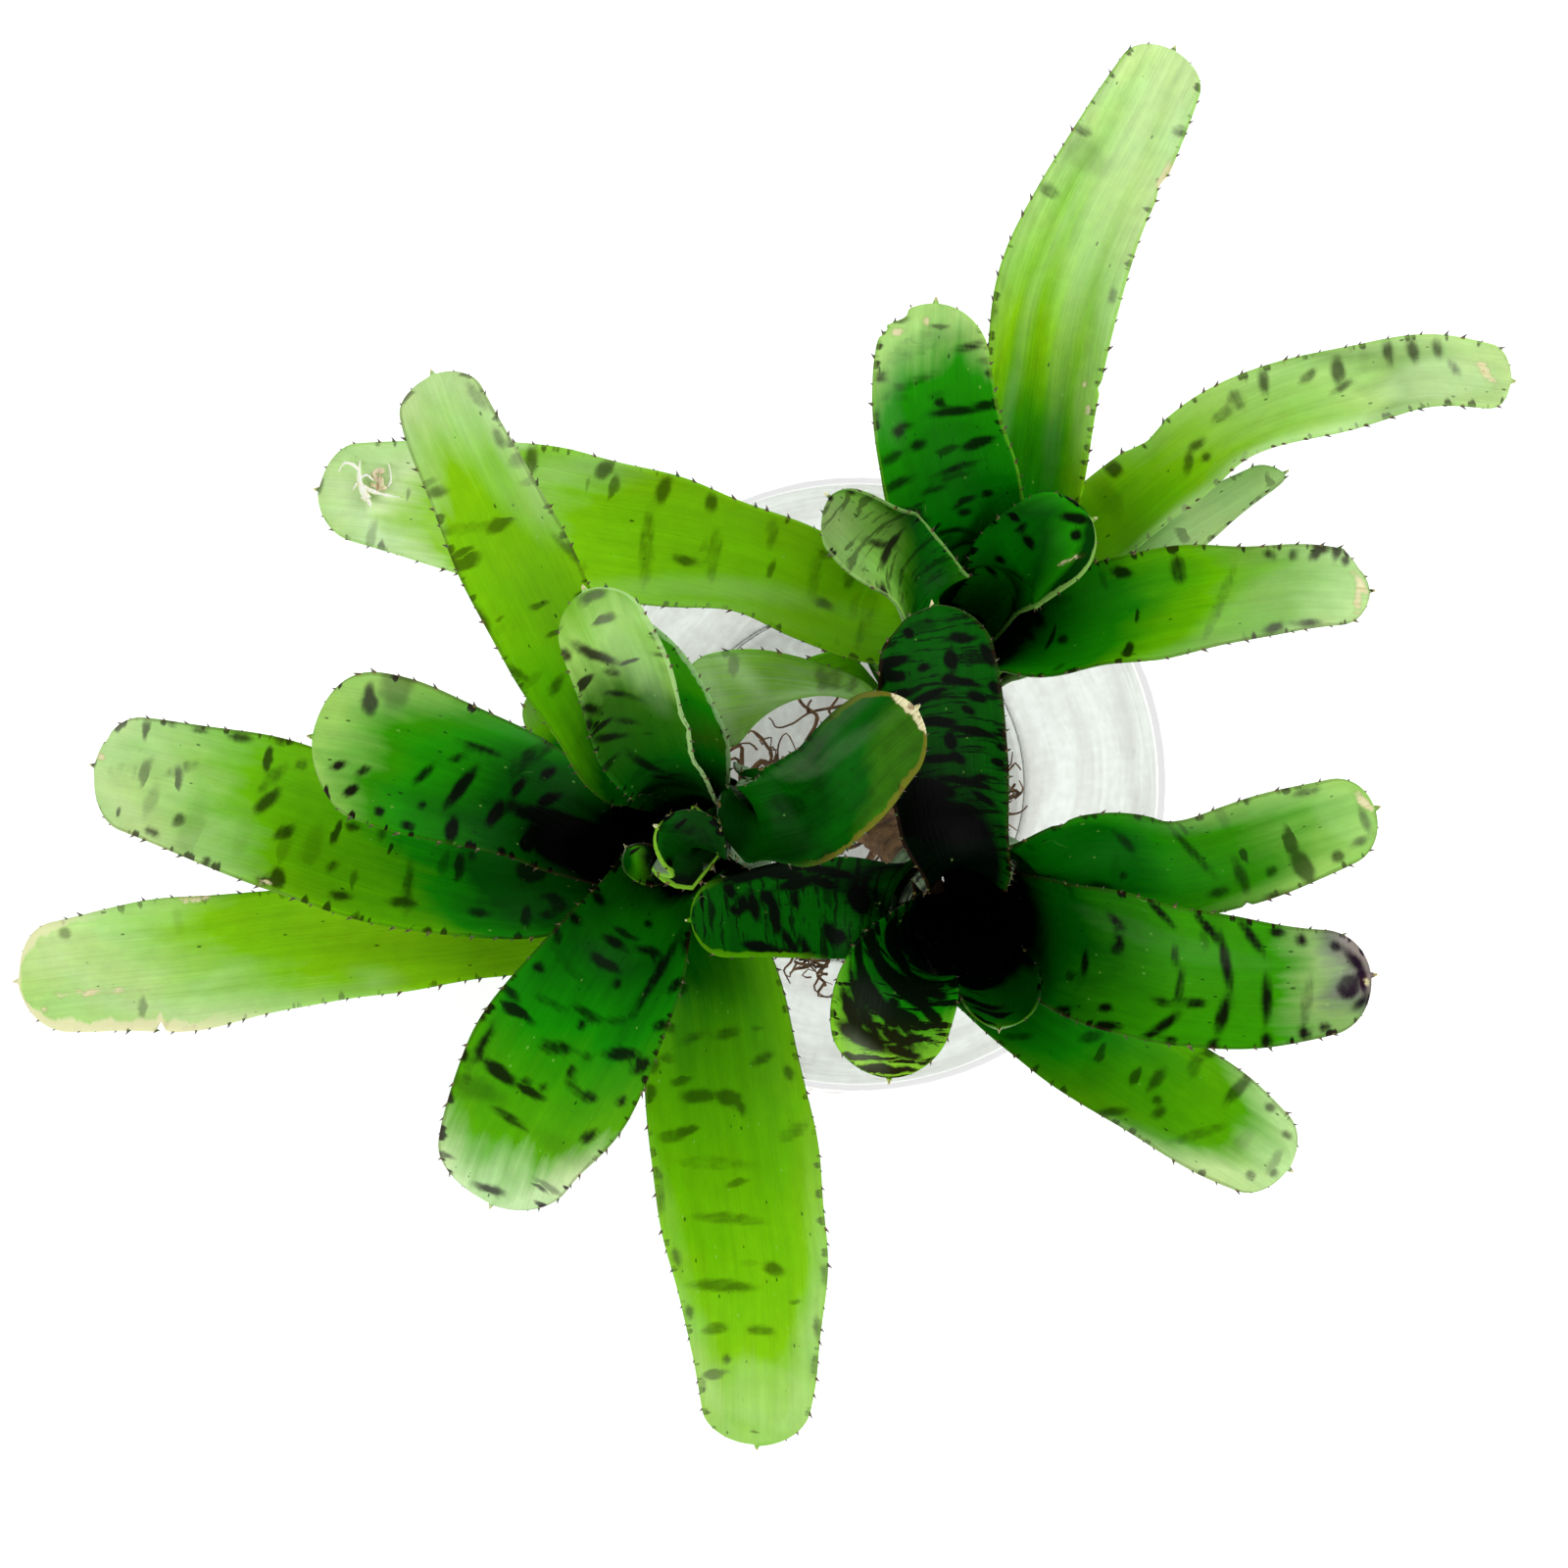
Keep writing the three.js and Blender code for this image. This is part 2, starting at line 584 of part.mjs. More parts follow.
// One leaf as a thin closed body. The upper and lower skins are split alike, so that they
// stay apart wherever the leaf bends, and a wall joins them round the margin and its spines.
function leafGeometry(leaf) {
  const course = leafCourse(leaf);
  const rows = leafRows(course);
  const vertices = [];
  const triangles = [];
  const half = (across) =>
    (LEAF.edgeThickness + (LEAF.middleThickness - LEAF.edgeThickness) * (1 - across * across)) / 2;

  // Adds a pair of vertices, one on each skin, and gives their two numbers.
  const addPair = (point, normal, offset) => {
    vertices.push(point.clone().addScaledVector(normal, offset));
    vertices.push(point.clone().addScaledVector(normal, -offset));
    return { top: vertices.length - 2, bottom: vertices.length - 1 };
  };
  const addFace = (a, b, c, turned) => {
    triangles.push(turned ? [a.top, c.top, b.top] : [a.top, b.top, c.top]);
    triangles.push(turned ? [a.bottom, b.bottom, c.bottom] : [a.bottom, c.bottom, b.bottom]);
  };
  const addWall = (a, b, turned) => {
    const first = [a.top, b.bottom, b.top];
    const second = [a.top, a.bottom, b.bottom];
    [first, second].forEach(([i, j, k]) => triangles.push(turned ? [i, k, j] : [i, j, k]));
  };

  const grid = rows.map(({ length }) =>
    Array.from({ length: LEAF.strips + 1 }, (_, column) => {
      const across = -1 + (2 * column) / LEAF.strips;
      const { point, normal } = sheetPoint(course, length, across);
      return addPair(point, normal, half(across));
    }));

  const addSpine = (from, to, side) => {
    const end = from + Math.min(SPINE.base, SPINE.share * (to - from));
    const tip = from + SPINE.lean * (end - from);
    const foot = sheetPoint(course, end, side);
    const point = sheetPoint(course, tip, side);
    const reached = point.point.clone().addScaledVector(point.outward, side * SPINE.height);
    return [
      addPair(reached, point.normal, half(1) * SPINE.thinning),
      addPair(foot.point, foot.normal, half(1)),
    ];
  };

  for (let row = 1; row < rows.length; row += 1) {
    const [near, far] = [grid[row - 1], grid[row]];
    for (let column = 1; column < LEAF.strips - 1; column += 1) {
      addFace(near[column], near[column + 1], far[column + 1], false);
      addFace(near[column], far[column + 1], far[column], false);
    }
    [-1, 1].forEach((side) => {
      const turned = side < 0;
      const edge = side < 0 ? 0 : LEAF.strips;
      const inner = edge - side;
      const chain = [near[edge]];
      if (rows[row].spined) {
        const [point, foot] = addSpine(rows[row - 1].length, rows[row].length, side);
        addFace(near[inner], near[edge], foot, turned);
        addFace(near[inner], foot, far[inner], turned);
        addFace(far[inner], foot, far[edge], turned);
        addFace(near[edge], point, foot, turned);
        chain.push(point, foot);
      } else {
        addFace(near[inner], near[edge], far[edge], turned);
        addFace(near[inner], far[edge], far[inner], turned);
      }
      chain.push(far[edge]);
      for (let link = 1; link < chain.length; link += 1) addWall(chain[link - 1], chain[link], turned);
    });
  }

  for (let column = 0; column < LEAF.strips; column += 1) {
    addWall(grid[0][column], grid[0][column + 1], false);
    addWall(grid.at(-1)[column], grid.at(-1)[column + 1], true);
  }
  return meshGeometry(vertices, triangles);
}

// ---------------------------------------------------------------- stems, runners and roots

// A closed tube along points, whose radius follows radiusAt(share of its length).
function taperedTube(points, rings, sides, radiusAt) {
  const curve = new THREE.CatmullRomCurve3(points, false, 'centripetal');
  const { normals, binormals } = curve.computeFrenetFrames(rings, false);
  const vertices = [];
  const triangles = [];
  for (let ring = 0; ring <= rings; ring += 1) {
    const centre = curve.getPointAt(ring / rings);
    const radius = radiusAt(ring / rings);
    for (let side = 0; side < sides; side += 1) {
      const angle = (2 * Math.PI * side) / sides;
      vertices.push(centre.clone()
        .addScaledVector(normals[ring], radius * Math.cos(angle))
        .addScaledVector(binormals[ring], radius * Math.sin(angle)));
    }
  }
  for (let ring = 0; ring < rings; ring += 1) {
    for (let side = 0; side < sides; side += 1) {
      const [a, b] = [ring * sides + side, ring * sides + ((side + 1) % sides)];
      triangles.push([a, b, b + sides], [a, b + sides, a + sides]);
    }
  }
  [0, rings].forEach((ring) => {
    vertices.push(curve.getPointAt(ring / rings));
    const centre = vertices.length - 1;
    for (let side = 0; side < sides; side += 1) {
      const [a, b] = [ring * sides + side, ring * sides + ((side + 1) % sides)];
      triangles.push(ring === 0 ? [centre, b, a] : [centre, a, b]);
    }
  });
  return meshGeometry(vertices, triangles);
}

function stemGeometry(name) {
  const rosette = ROSETTES[name];
  const axis = rosetteAxis(rosette);
  const onAxis = (height) => vector(rosette.base).addScaledVector(axis, height);
  const foot = vector(FEET[name]);
  const neck = onAxis(STEM.neckHeight);
  const tip = onAxis(STEM.tipHeight);
  const points = [foot, foot.clone().lerp(neck, 0.5), neck, tip];
  const below = foot.distanceTo(neck);
  const neckShare = below / (below + neck.distanceTo(tip));
  const radiusAt = (share) => (share < neckShare
    ? THREE.MathUtils.lerp(STEM.baseRadius, STEM.neckRadius, share / neckShare)
    : THREE.MathUtils.mapLinear(share, neckShare, 1, STEM.neckRadius, STEM.tipRadius));
  return taperedTube(points, STEM.rings, STEM.sides, radiusAt);
}

// A runner joins the left stem to one of the other two.
function runnerGeometry(name) {
  const at = (stem) => {
    const foot = vector(FEET[stem]);
    const base = vector(ROSETTES[stem].base);
    return foot.lerp(base, (RUNNER.height - foot.z) / (base.z - foot.z));
  };
  const [from, to] = [at('left'), at(name)];
  const middle = from.clone().lerp(to, 0.5).add(new THREE.Vector3(0, 0, -RUNNER.sag));
  return taperedTube([from, middle, to], RUNNER.rings, RUNNER.sides, () => RUNNER.radius);
}

// A root leaves its stem low down, dips to the glass floor and winds outwards over it.
function rootGeometry({ stem, direction, reach, end }, index) {
  const angle = radians(direction);
  const sideways = new THREE.Vector3(-Math.sin(angle), Math.cos(angle), 0);
  const from = vector(FEET[stem]).add(new THREE.Vector3(0, 0, ROOT.startHeight));
  const to = new THREE.Vector3(reach * Math.cos(angle), reach * Math.sin(angle), end);
  const lying = BOWL.floor + CLEARANCE + ROOT.radius + ROOT.lift;
  const lastBend = ROOT.courseShares.length - 1;
  const points = ROOT.courseShares.map((share, bend) => {
    const point = from.clone().lerp(to, share);
    if (bend > 0 && bend < lastBend) point.z = lying;
    const swings = bend > 1 && bend < lastBend;
    const turn = (bend + index) % 2 ? 1 : -1;
    return swings ? point.addScaledVector(sideways, turn * ROOT.wave) : point;
  });
  const radiusAt = (share) => THREE.MathUtils.lerp(ROOT.radius, ROOT.tipRadius, share);
  return taperedTube(points, ROOT.rings, ROOT.sides, radiusAt);
}

// Stems, runners and roots grew as one body.
function rootstockGeometry() {
  const pieces = [
    ...Object.keys(ROSETTES).map(stemGeometry),
    ...['front', 'back'].map(runnerGeometry),
    ...ROOTS.map(rootGeometry),
  ];
  const body = pieces.map(toSolid).reduce((joined, piece) => joined.add(piece));
  return fromSolid(body);
}

// ---------------------------------------------------------------- the bowl

// Radius of the bowl's outside at a height.
function bowlRadius(level) {
  const rise = 1 - (1 - level / BOWL.height) ** BOWL.swell;
  return BOWL.footRadius + (BOWL.rimRadius - BOWL.footRadius) * rise;
}

// The glass from the middle of the foot, up the outside, over the rim and down inside.
function bowlGeometry() {
  const { height, footRadius, beadRadius, beadDepth, beadRound, lipWidth, wall, floor } = BOWL;
  const lipInside = beadRadius - lipWidth;
  const outer = BOWL.levels.map((level) => [bowlRadius(level), level]);
  const inner = BOWL.levels.slice(1).reverse().map((level) => [bowlRadius(level) - wall, level]);
  const profile = [
    [0, 0],
    [footRadius, 0],
    ...outer,
    [beadRadius, height - beadDepth],
    [beadRadius - beadRound, height],
    [lipInside + beadRound, height],
    [lipInside, height - beadDepth],
    ...inner,
    [footRadius - BOWL.floorRound, floor],
    [0, floor],
  ].map(([radius, level]) => new THREE.Vector2(radius, level));
  return new THREE.LatheGeometry(profile, BOWL.sides).rotateX(Math.PI / 2);
}

// ---------------------------------------------------------------- the whole plant

function namedMesh(name, geometry, material) {
  const mesh = new THREE.Mesh(geometry, material);
  mesh.name = name;
  return mesh;
}

const plant = new THREE.Group();
plant.name = 'neoregelia_bromeliad';
plant.add(namedMesh('bowl', bowlGeometry(), glassMaterial()));
plant.add(namedMesh('rootstock', rootstockGeometry(), rootMaterial()));
LEAVES.forEach((leaf) => {
  plant.add(namedMesh(leaf.name, leafGeometry(leaf), leafMaterial(leaf)));
});

export default plant;
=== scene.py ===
"""Looks of a neoregelia: three leaf rosettes on joined stems, bare-rooted in a clear glass bowl."""

import logging
import math
import re
from dataclasses import dataclass, field
from enum import Enum
from typing import Any, Iterable, Mapping, Sequence

import bmesh
import bpy
import numpy as np
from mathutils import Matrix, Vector


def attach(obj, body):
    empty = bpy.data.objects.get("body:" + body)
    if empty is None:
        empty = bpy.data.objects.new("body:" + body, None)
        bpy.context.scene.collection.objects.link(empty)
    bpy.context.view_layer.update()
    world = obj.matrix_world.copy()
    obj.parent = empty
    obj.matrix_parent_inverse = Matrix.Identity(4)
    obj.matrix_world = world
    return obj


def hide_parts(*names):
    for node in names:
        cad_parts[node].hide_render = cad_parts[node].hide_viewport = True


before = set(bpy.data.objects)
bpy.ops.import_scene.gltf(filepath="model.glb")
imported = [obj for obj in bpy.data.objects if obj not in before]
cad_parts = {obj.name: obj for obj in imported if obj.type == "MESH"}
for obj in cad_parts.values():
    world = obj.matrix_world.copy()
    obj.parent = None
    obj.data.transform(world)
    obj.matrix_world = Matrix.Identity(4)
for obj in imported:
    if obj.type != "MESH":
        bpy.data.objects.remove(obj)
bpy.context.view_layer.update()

LOG = logging.getLogger("neoregelia")
MM = 0.001  # sizes are given in millimetres, and Blender works in metres
BODY = "root"

Array = np.ndarray
Material, Mesh, NodeTree = bpy.types.Material, bpy.types.Mesh, bpy.types.NodeTree
Piece = bpy.types.Object


# ---------------------------------------------------------------- colours


class Tint(Enum):
    """Colours of leaf, bark and glass, as red, green and blue from 0 to 255."""

    INK = (0, 5, 1)
    PITCH = (2, 27, 2)
    BOTTLE = (2, 56, 2)
    FOREST = (3, 80, 2)
    FERN = (4, 110, 2)
    GRASS = (18, 130, 2)
    MEADOW = (52, 145, 2)
    LEAF = (80, 161, 2)
    LIME = (102, 180, 2)
    BRIGHT = (123, 192, 12)
    SPRING = (134, 198, 48)
    SAGE = (150, 204, 96)
    MINT = (168, 216, 120)
    FROST = (194, 228, 166)
    EMERALD = (30, 143, 3)
    OLIVE = (44, 101, 5)
    APPLE = (106, 172, 38)
    PALM = (118, 174, 68)
    CELADON = (134, 176, 98)
    PEAR = (180, 220, 142)
    SILVER = (150, 176, 142)
    DUSK = (112, 128, 102)
    MAUVE = (142, 138, 132)
    CREAM = (236, 232, 184)
    STRAW = (196, 186, 104)
    OCHRE = (140, 120, 40)
    RUST = (110, 52, 22)
    UMBER = (52, 28, 14)
    BARK = (92, 62, 38)
    CORK = (150, 112, 74)
    LOAM = (44, 28, 18)
    ROOT = (146, 108, 74)
    SHELL = (232, 218, 190)
    GLASS = (238, 242, 240)
    MIST = (214, 214, 210)
    PAPER = (247, 248, 246)

    def linear(self) -> tuple[float, ...]:
        """Returns the colour as Blender's scene-linear red, green, blue and alpha."""
        shares = [part / 255 for part in self.value]
        parts = [s / 12.92 if s <= 0.04045 else ((s + 0.055) / 1.055) ** 2.4 for s in shares]
        return (*parts, 1.0)


WHITE, BLACK = (1.0,) * 4, (0.0, 0.0, 0.0, 1.0)


# ---------------------------------------------------------------- node trees


class Wiring:
    """Adds nodes to a shader or geometry tree and links them."""

    def __init__(self, tree: NodeTree) -> None:
        """Starts on a tree."""
        self.tree = tree

    def fill(self, node: bpy.types.Node, inputs: Mapping[Any, Any]) -> None:
        """Links or sets a node's inputs.

        Args:
            node: The node.
            inputs: A term, tint or plain value for each input's name or number.
        """
        for key, value in inputs.items():
            if isinstance(value, Term):
                self.tree.links.new(value.socket, node.inputs[key])
            else:
                plain = value.linear() if isinstance(value, Tint) else value
                node.inputs[key].default_value = plain

    def node(self, kind: str, inputs: Mapping[Any, Any], **settings: Any) -> "Outputs":
        """Adds a node.

        Args:
            kind: Blender's identifier of the node.
            inputs: What its inputs get.
            **settings: Properties of the node itself.

        Returns:
            The node's outputs.
        """
        made = self.tree.nodes.new(kind)
        for name, value in settings.items():
            setattr(made, name, value)
        self.fill(made, inputs)
        return Outputs(self, made)

    def work(self, operation: str, *values: Any) -> "Term":
        """Does one step of arithmetic on numbers, on vectors, or on one of each.

        Args:
            operation: Name of the operation.
            *values: Its operands.

        Returns:
            The result.
        """
        wide = [isinstance(v, tuple) or isinstance(v, Term) and v.wide for v in values]
        if any(wide) and not all(wide):
            vector, scale = values if wide[0] else values[::-1]
            return self.node("ShaderNodeVectorMath", {0: vector, "Scale": scale},
                             operation="SCALE")[0]
        kind = "ShaderNodeVectorMath" if any(wide) else "ShaderNodeMath"
        return self.node(kind, dict(enumerate(values)), operation=operation)[0]

    def vector(self, *parts: Any) -> "Term":
        """Returns a vector made of numbers."""
        return self.node("ShaderNodeCombineXYZ", dict(enumerate(parts)))[0]

    def mix(self, share: Any, first: Any, second: Any, blend: str = "MIX") -> "Term":
        """Returns the first colour with a share of the second one over it."""
        return self.node("ShaderNodeMix", {0: share, 6: first, 7: second}, data_type="RGBA",
                         blend_type=blend)[2]

    def attribute(self, name: str, output: str = "Fac") -> "Term":
        """Returns one of the mesh's own attributes."""
        return self.node("ShaderNodeAttribute", {}, attribute_name=name)[output]

    def place(self) -> "Term":
        """Returns the place on the object, in millimetres."""
        return self.node("ShaderNodeTexCoord", {})["Object"] * (1 / MM)

    def bump(self, strength: float, depth: float, height: "Term") -> "Term":
        """Returns the normal of a surface with a relief as deep as so many millimetres."""
        return self.node("ShaderNodeBump", {
            "Strength": strength, "Distance": depth * MM, "Height": height})[0]

    def group(self, tree: NodeTree, **inputs: Any) -> "Outputs":
        """Adds a group and fills its inputs."""
        return self.node("ShaderNodeGroup", inputs, node_tree=tree)

    def cells(self, spot: "Term", dimensions: str = "3D") -> tuple["Term", ...]:
        """Scatters cells.

        Args:
            spot: Where in the pattern a point is.
            dimensions: Whether the pattern is flat.

        Returns:
            The distance to the nearest cell's middle, and three random numbers of that cell.
        """
        made = self.node("ShaderNodeTexVoronoi", {"Vector": spot, "Scale": 1.0},
                         voronoi_dimensions=dimensions)
        return made["Distance"], *made["Color"].parts()


@dataclass(frozen=True, eq=False)
class Term:
    """A number, vector or colour in a node tree. Arithmetic with it adds nodes."""

    wiring: Wiring
    socket: bpy.types.NodeSocket

    @property
    def wide(self) -> bool:
        """Returns whether it is more than a single number."""
        return self.socket.type not in ("VALUE", "INT")

    def __add__(self, other: Any) -> "Term":
        """Returns the sum."""
        return self.wiring.work("ADD", self, other)

    def __sub__(self, other: Any) -> "Term":
        """Returns the difference."""
        return self.wiring.work("SUBTRACT", self, other)

    def __rsub__(self, other: Any) -> "Term":
        """Returns what is left of a plain number."""
        return self.wiring.work("SUBTRACT", other, self)

    def __mul__(self, other: Any) -> "Term":
        """Returns the product."""
        return self.wiring.work("MULTIPLY", self, other)

    def __truediv__(self, other: Any) -> "Term":
        """Returns the quotient."""
        return self.wiring.work("DIVIDE", self, other)

    def __rtruediv__(self, other: Any) -> "Term":
        """Returns a plain number divided by the term."""
        return self.wiring.work("DIVIDE", other, self)

    def __pow__(self, other: Any) -> "Term":
        """Returns the power."""
        return self.wiring.work("POWER", self, other)

    def __abs__(self) -> "Term":
        """Returns the size without its sign."""
        return self.wiring.work("ABSOLUTE", self)

    def __lt__(self, other: Any) -> "Term":
        """Returns 1 where the term is below another number."""
        return self.wiring.work("LESS_THAN", self, other)

    def __gt__(self, other: Any) -> "Term":
        """Returns 1 where the term is above another number."""
        return self.wiring.work("GREATER_THAN", self, other)

    def most(self, other: Any) -> "Term":
        """Returns the larger of two numbers."""
        return self.wiring.work("MAXIMUM", self, other)

    def parts(self) -> tuple["Term", "Term", "Term"]:
        """Returns the three numbers of a vector or colour."""
        split = self.wiring.node("ShaderNodeSeparateXYZ", {0: self})
        return split[0], split[1], split[2]

    def span(
        self, low: Any, high: Any, to_low: Any = 0.0, to_high: Any = 1.0, soft: bool = True
    ) -> "Term":
        """Maps one range of numbers to another, and stops at its ends.

        Args:
            low: Where the range starts.
            high: Where it ends.
            to_low: Result at the start.
            to_high: Result at the end.
            soft: Whether the result eases in and out.

        Returns:
            The result.
        """
        return self.wiring.node(
            "ShaderNodeMapRange", {0: self, 1: low, 2: high, 3: to_low, 4: to_high},
            interpolation_type="SMOOTHSTEP" if soft else "LINEAR")["Result"]

    def noise(
        self, stretch: tuple[float, ...], detail: float = 2.0, roughness: float = 0.5,
        distortion: float = 0.0, output: str = "Fac",
    ) -> "Term":
        """Adds noise that is drawn out along some directions.

        Args:
            stretch: Waves per millimetre in each direction.
            detail: Octaves.
            roughness: Strength of the finer octaves.
            distortion: How far the noise bends itself.
            output: The noise as one number, or as a colour.

        Returns:
            Values from 0 to 1, mostly near 0.5.
        """
        return self.wiring.node("ShaderNodeTexNoise", {
            "Vector": self * stretch, "Scale": 1.0, "Detail": detail,
            "Roughness": roughness, "Distortion": distortion})[output]


@dataclass(frozen=True)
class Outputs:
    """The outputs of a node."""

    wiring: Wiring
    node: bpy.types.Node

    def __getitem__(self, key: str | int) -> Term:
        """Returns the output with a name or number."""
        return Term(self.wiring, self.node.outputs[key])


class Group(Wiring):
    """A node group with named inputs and outputs."""

    def __init__(self, name: str, kind: str = "ShaderNodeTree", **inputs: Any) -> None:
        """Makes the group.

        Args:
            name: The group's name.
            kind: Shader or geometry tree.
            **inputs: The first value of each input, or the kind of one that needs none.
        """
        super().__init__(bpy.data.node_groups.new(name, kind))
        for label, first in inputs.items():
            kind_of = {float: "Float", int: "Int"}.get(type(first), first)
            socket = self.socket(label, "INPUT", kind_of)
            if kind_of != first:
                socket.default_value = first
        self.inputs = Outputs(self, self.tree.nodes.new("NodeGroupInput"))

    def __getitem__(self, label: str) -> Term:
        """Returns one of the group's inputs."""
        return self.inputs[label]

    def socket(self, label: str, side: str, kind: str) -> bpy.types.NodeTreeInterfaceSocket:
        """Makes a socket of the group."""
        return self.tree.interface.new_socket(name=label, in_out=side,
                                              socket_type=f"NodeSocket{kind}")

    def give(self, **outputs: Term) -> NodeTree:
        """Makes the group's outputs.

        Args:
            **outputs: What each of them puts out.

        Returns:
            The group's tree.
        """
        for label, term in outputs.items():
            geometry = term.socket.type == "GEOMETRY"
            self.socket(label, "OUTPUT", "Geometry" if geometry else "Float")
        self.fill(self.tree.nodes.new("NodeGroupOutput"), outputs)
        return self.tree


MARK_RANGE = (-1.1, 0.95)  # millimetres inside a patch over which a dark mark, or painted shade, comes up
SHEEN_RANGE = (-2.2, 2.8)  # and the painted sheen, a pale reflection painted into the colour
WITHER_RANGE = (-0.2, 0.35)  # and dried tissue
OUTSIDE = -4.0  # depth of a point that is far from any patch


def colour_drift() -> NodeTree:
    """Makes the group that lets a leaf's colour run wander.

    Returns:
        A tree whose Share is the share of the leaf's length, pushed to and fro, and whose
        Warmth is 1 where the green turns yellowish.
    """
    group = Group("leaf_colour_drift", Place="Vector", Share=0.0, Drift=0.1)
    place = group["Place"]
    clouds, tongues = place.noise((0.085, 0.045, 1), 3), place.noise((0.5, 0.05, 1))
    wander = clouds - 0.5 + (tongues - 0.5) * 0.45
    patches = (place + (31.0, 57.0, 9.0)).noise((0.05, 0.04, 1), 3, 0.55)
    return group.give(Share=wander * group["Drift"] + group["Share"],
                      Warmth=patches.span(0.4, 0.64))


def leaf_grain() -> NodeTree:
    """Makes the group of fine lines that run the length of a leaf.

    Returns:
        A tree with Shade, a factor on the colour, and Lines from 0 to 1.
    """
    group = Group("leaf_grain", Place="Vector", Strength=0.3)
    place = group["Place"]
    fine, broad = place.noise((2.6, 0.03, 1), 3, 0.6), place.noise((0.42, 0.016, 1))
    mottle = place.noise((0.35, 0.22, 1), 4, 0.6)
    return group.give(Shade=(fine + broad + mottle - 1.5) * group["Strength"] + 1.0, Lines=fine)


def leaf_bars() -> NodeTree:
    """Makes the group of dark bars and blotches that cross a leaf.

    Returns:
        A tree whose Mask is 1 in a bar. Mark is the depth inside a placed blotch or patch of
        painted shade.
    """
    group = Group("leaf_bars", Place="Vector", Mark=-3.0, Edge=5.0, Cover=0.2, Length=5.0,
                  Breadth=1.6, Bands=0.0)
    place = group["Place"]
    ragged = place.noise((0.35, 0.6, 1), 3) - 0.5
    mask = (ragged * 0.9 + group["Mark"]).span(*MARK_RANGE)

    swerve = (place.noise((0.2, 0.3, 1), 4, output="Color") - (0.5,) * 3) * 3.0
    turn = place.parts()[2]
    for wide, weight in ((1.0, 1.0), (2.3, 0.42)):
        size = group.vector(0.42 / wide / group["Length"], 0.42 / wide / group["Breadth"])
        spot = (place + swerve) * size + group.vector(turn * wide, turn)
        distance, chance, breadth, force = group.cells(spot, "2D")
        reach = breadth.span(0.0, 1.0, 0.2, 0.62, soft=False)
        depth = distance.span(reach * 0.3, reach, weight, 0.0)
        strength = force.span(0.0, 1.0, 0.2, 1.0, soft=False)
        mask = mask.most(depth * (chance < group["Cover"]) * strength)

    along = place.noise((0.015, 0.3, 1), 2, 0.6)
    reach = along.span(0.5, 0.75, 0.1, 3.0, soft=False)
    margin = group["Edge"].span(reach * 0.3, reach, 0.8, 0.0) * along.span(0.54, 0.62)
    ripples = (place + swerve * 0.6).noise((0.06, 0.62, 1), 3, 0.55)
    bands = ripples.span(0.5, 0.62) * group["Bands"]
    return group.give(Mask=mask.most(margin.most(bands)))


def leaf_sheen() -> NodeTree:
    """Makes the group of the painted sheen: a pale reflection of the white surroundings, painted
    into the colour of a leaf's tip and turned sides.

    Returns:
        A tree whose Mask is 1 in full painted sheen. Depth is how far inside a sheen patch a point
        is.
    """
    group = Group("leaf_sheen", Place="Vector", Depth=-3.0)
    streaks = group["Place"].noise((0.6, 0.04, 1), 3) - 0.5
    clouds = group["Place"].noise((0.16, 0.1, 1), 3) - 0.5
    return group.give(Mask=(clouds * 1.6 + (streaks * 0.9 + group["Depth"])).span(*SHEEN_RANGE))


def leaf_specks() -> NodeTree:
    """Makes the group of small pale and dark spots.

    Returns:
        A tree with the masks Pale and Dark.
    """
    group = Group("leaf_specks", Place="Vector", Cover=0.1)
    masks = []
    for scale, flat, share in ((0.8, 0.7, 0.6), (0.9, 0.45, 1.0)):
        distance, chance, size, _ = group.cells(group["Place"] * (scale, scale * flat, 1))
        radius = size.span(0.0, 1.0, 0.1, 0.3, soft=False)
        spot = distance.span(radius * 0.6, radius, 1.0, 0.0)
        masks.append(spot * (chance > 1.0 - group["Cover"] * share))
    return group.give(Pale=masks[0], Dark=masks[1])


def leaf_scuffs() -> NodeTree:
    """Makes the group of thin pale scratches that leaves get from each other's spines.

    Returns:
        A tree whose Mask is 1 on a scratch.
    """
    group = Group("leaf_scuffs", Place="Vector", Cover=0.3)
    lines = group["Place"].noise((0.16, 0.11, 1), 1, 0.4, 0.4)
    thin = abs(lines - 0.5).span(0.0015, 0.005, 1.0, 0.0)
    edge = group["Cover"].span(0.0, 1.0, 0.72, 0.42, soft=False)
    return group.give(Mask=thin * group["Place"].noise((0.05, 0.07, 1)).span(edge, edge + 0.06))


def leaf_rim() -> NodeTree:
    """Makes the group of the thin line along a margin, or along one side or the tip of it.

    Returns:
        A tree whose Mask is 1 at the margin.
    """
    group = Group("leaf_rim", Place="Vector", Edge=5.0, Width=0.5, Share=0.0, First=-1.0,
                  Side=0.0)
    uneven = group["Place"].noise((0.02, 0.16, 1), 4, 0.6)
    width = group["Width"] * uneven.span(0.32, 0.68, 0.25, 1.75, soft=False)
    line = group["Edge"].span(width * 0.55, width, 1.0, 0.0)
    past = (group["Share"] - group["First"]).span(-0.1, 0.1)
    sided = (group["Place"].parts()[0] * group["Side"] + 1.0).span(-1.0, 1.0)
    return group.give(Mask=line * past * sided)


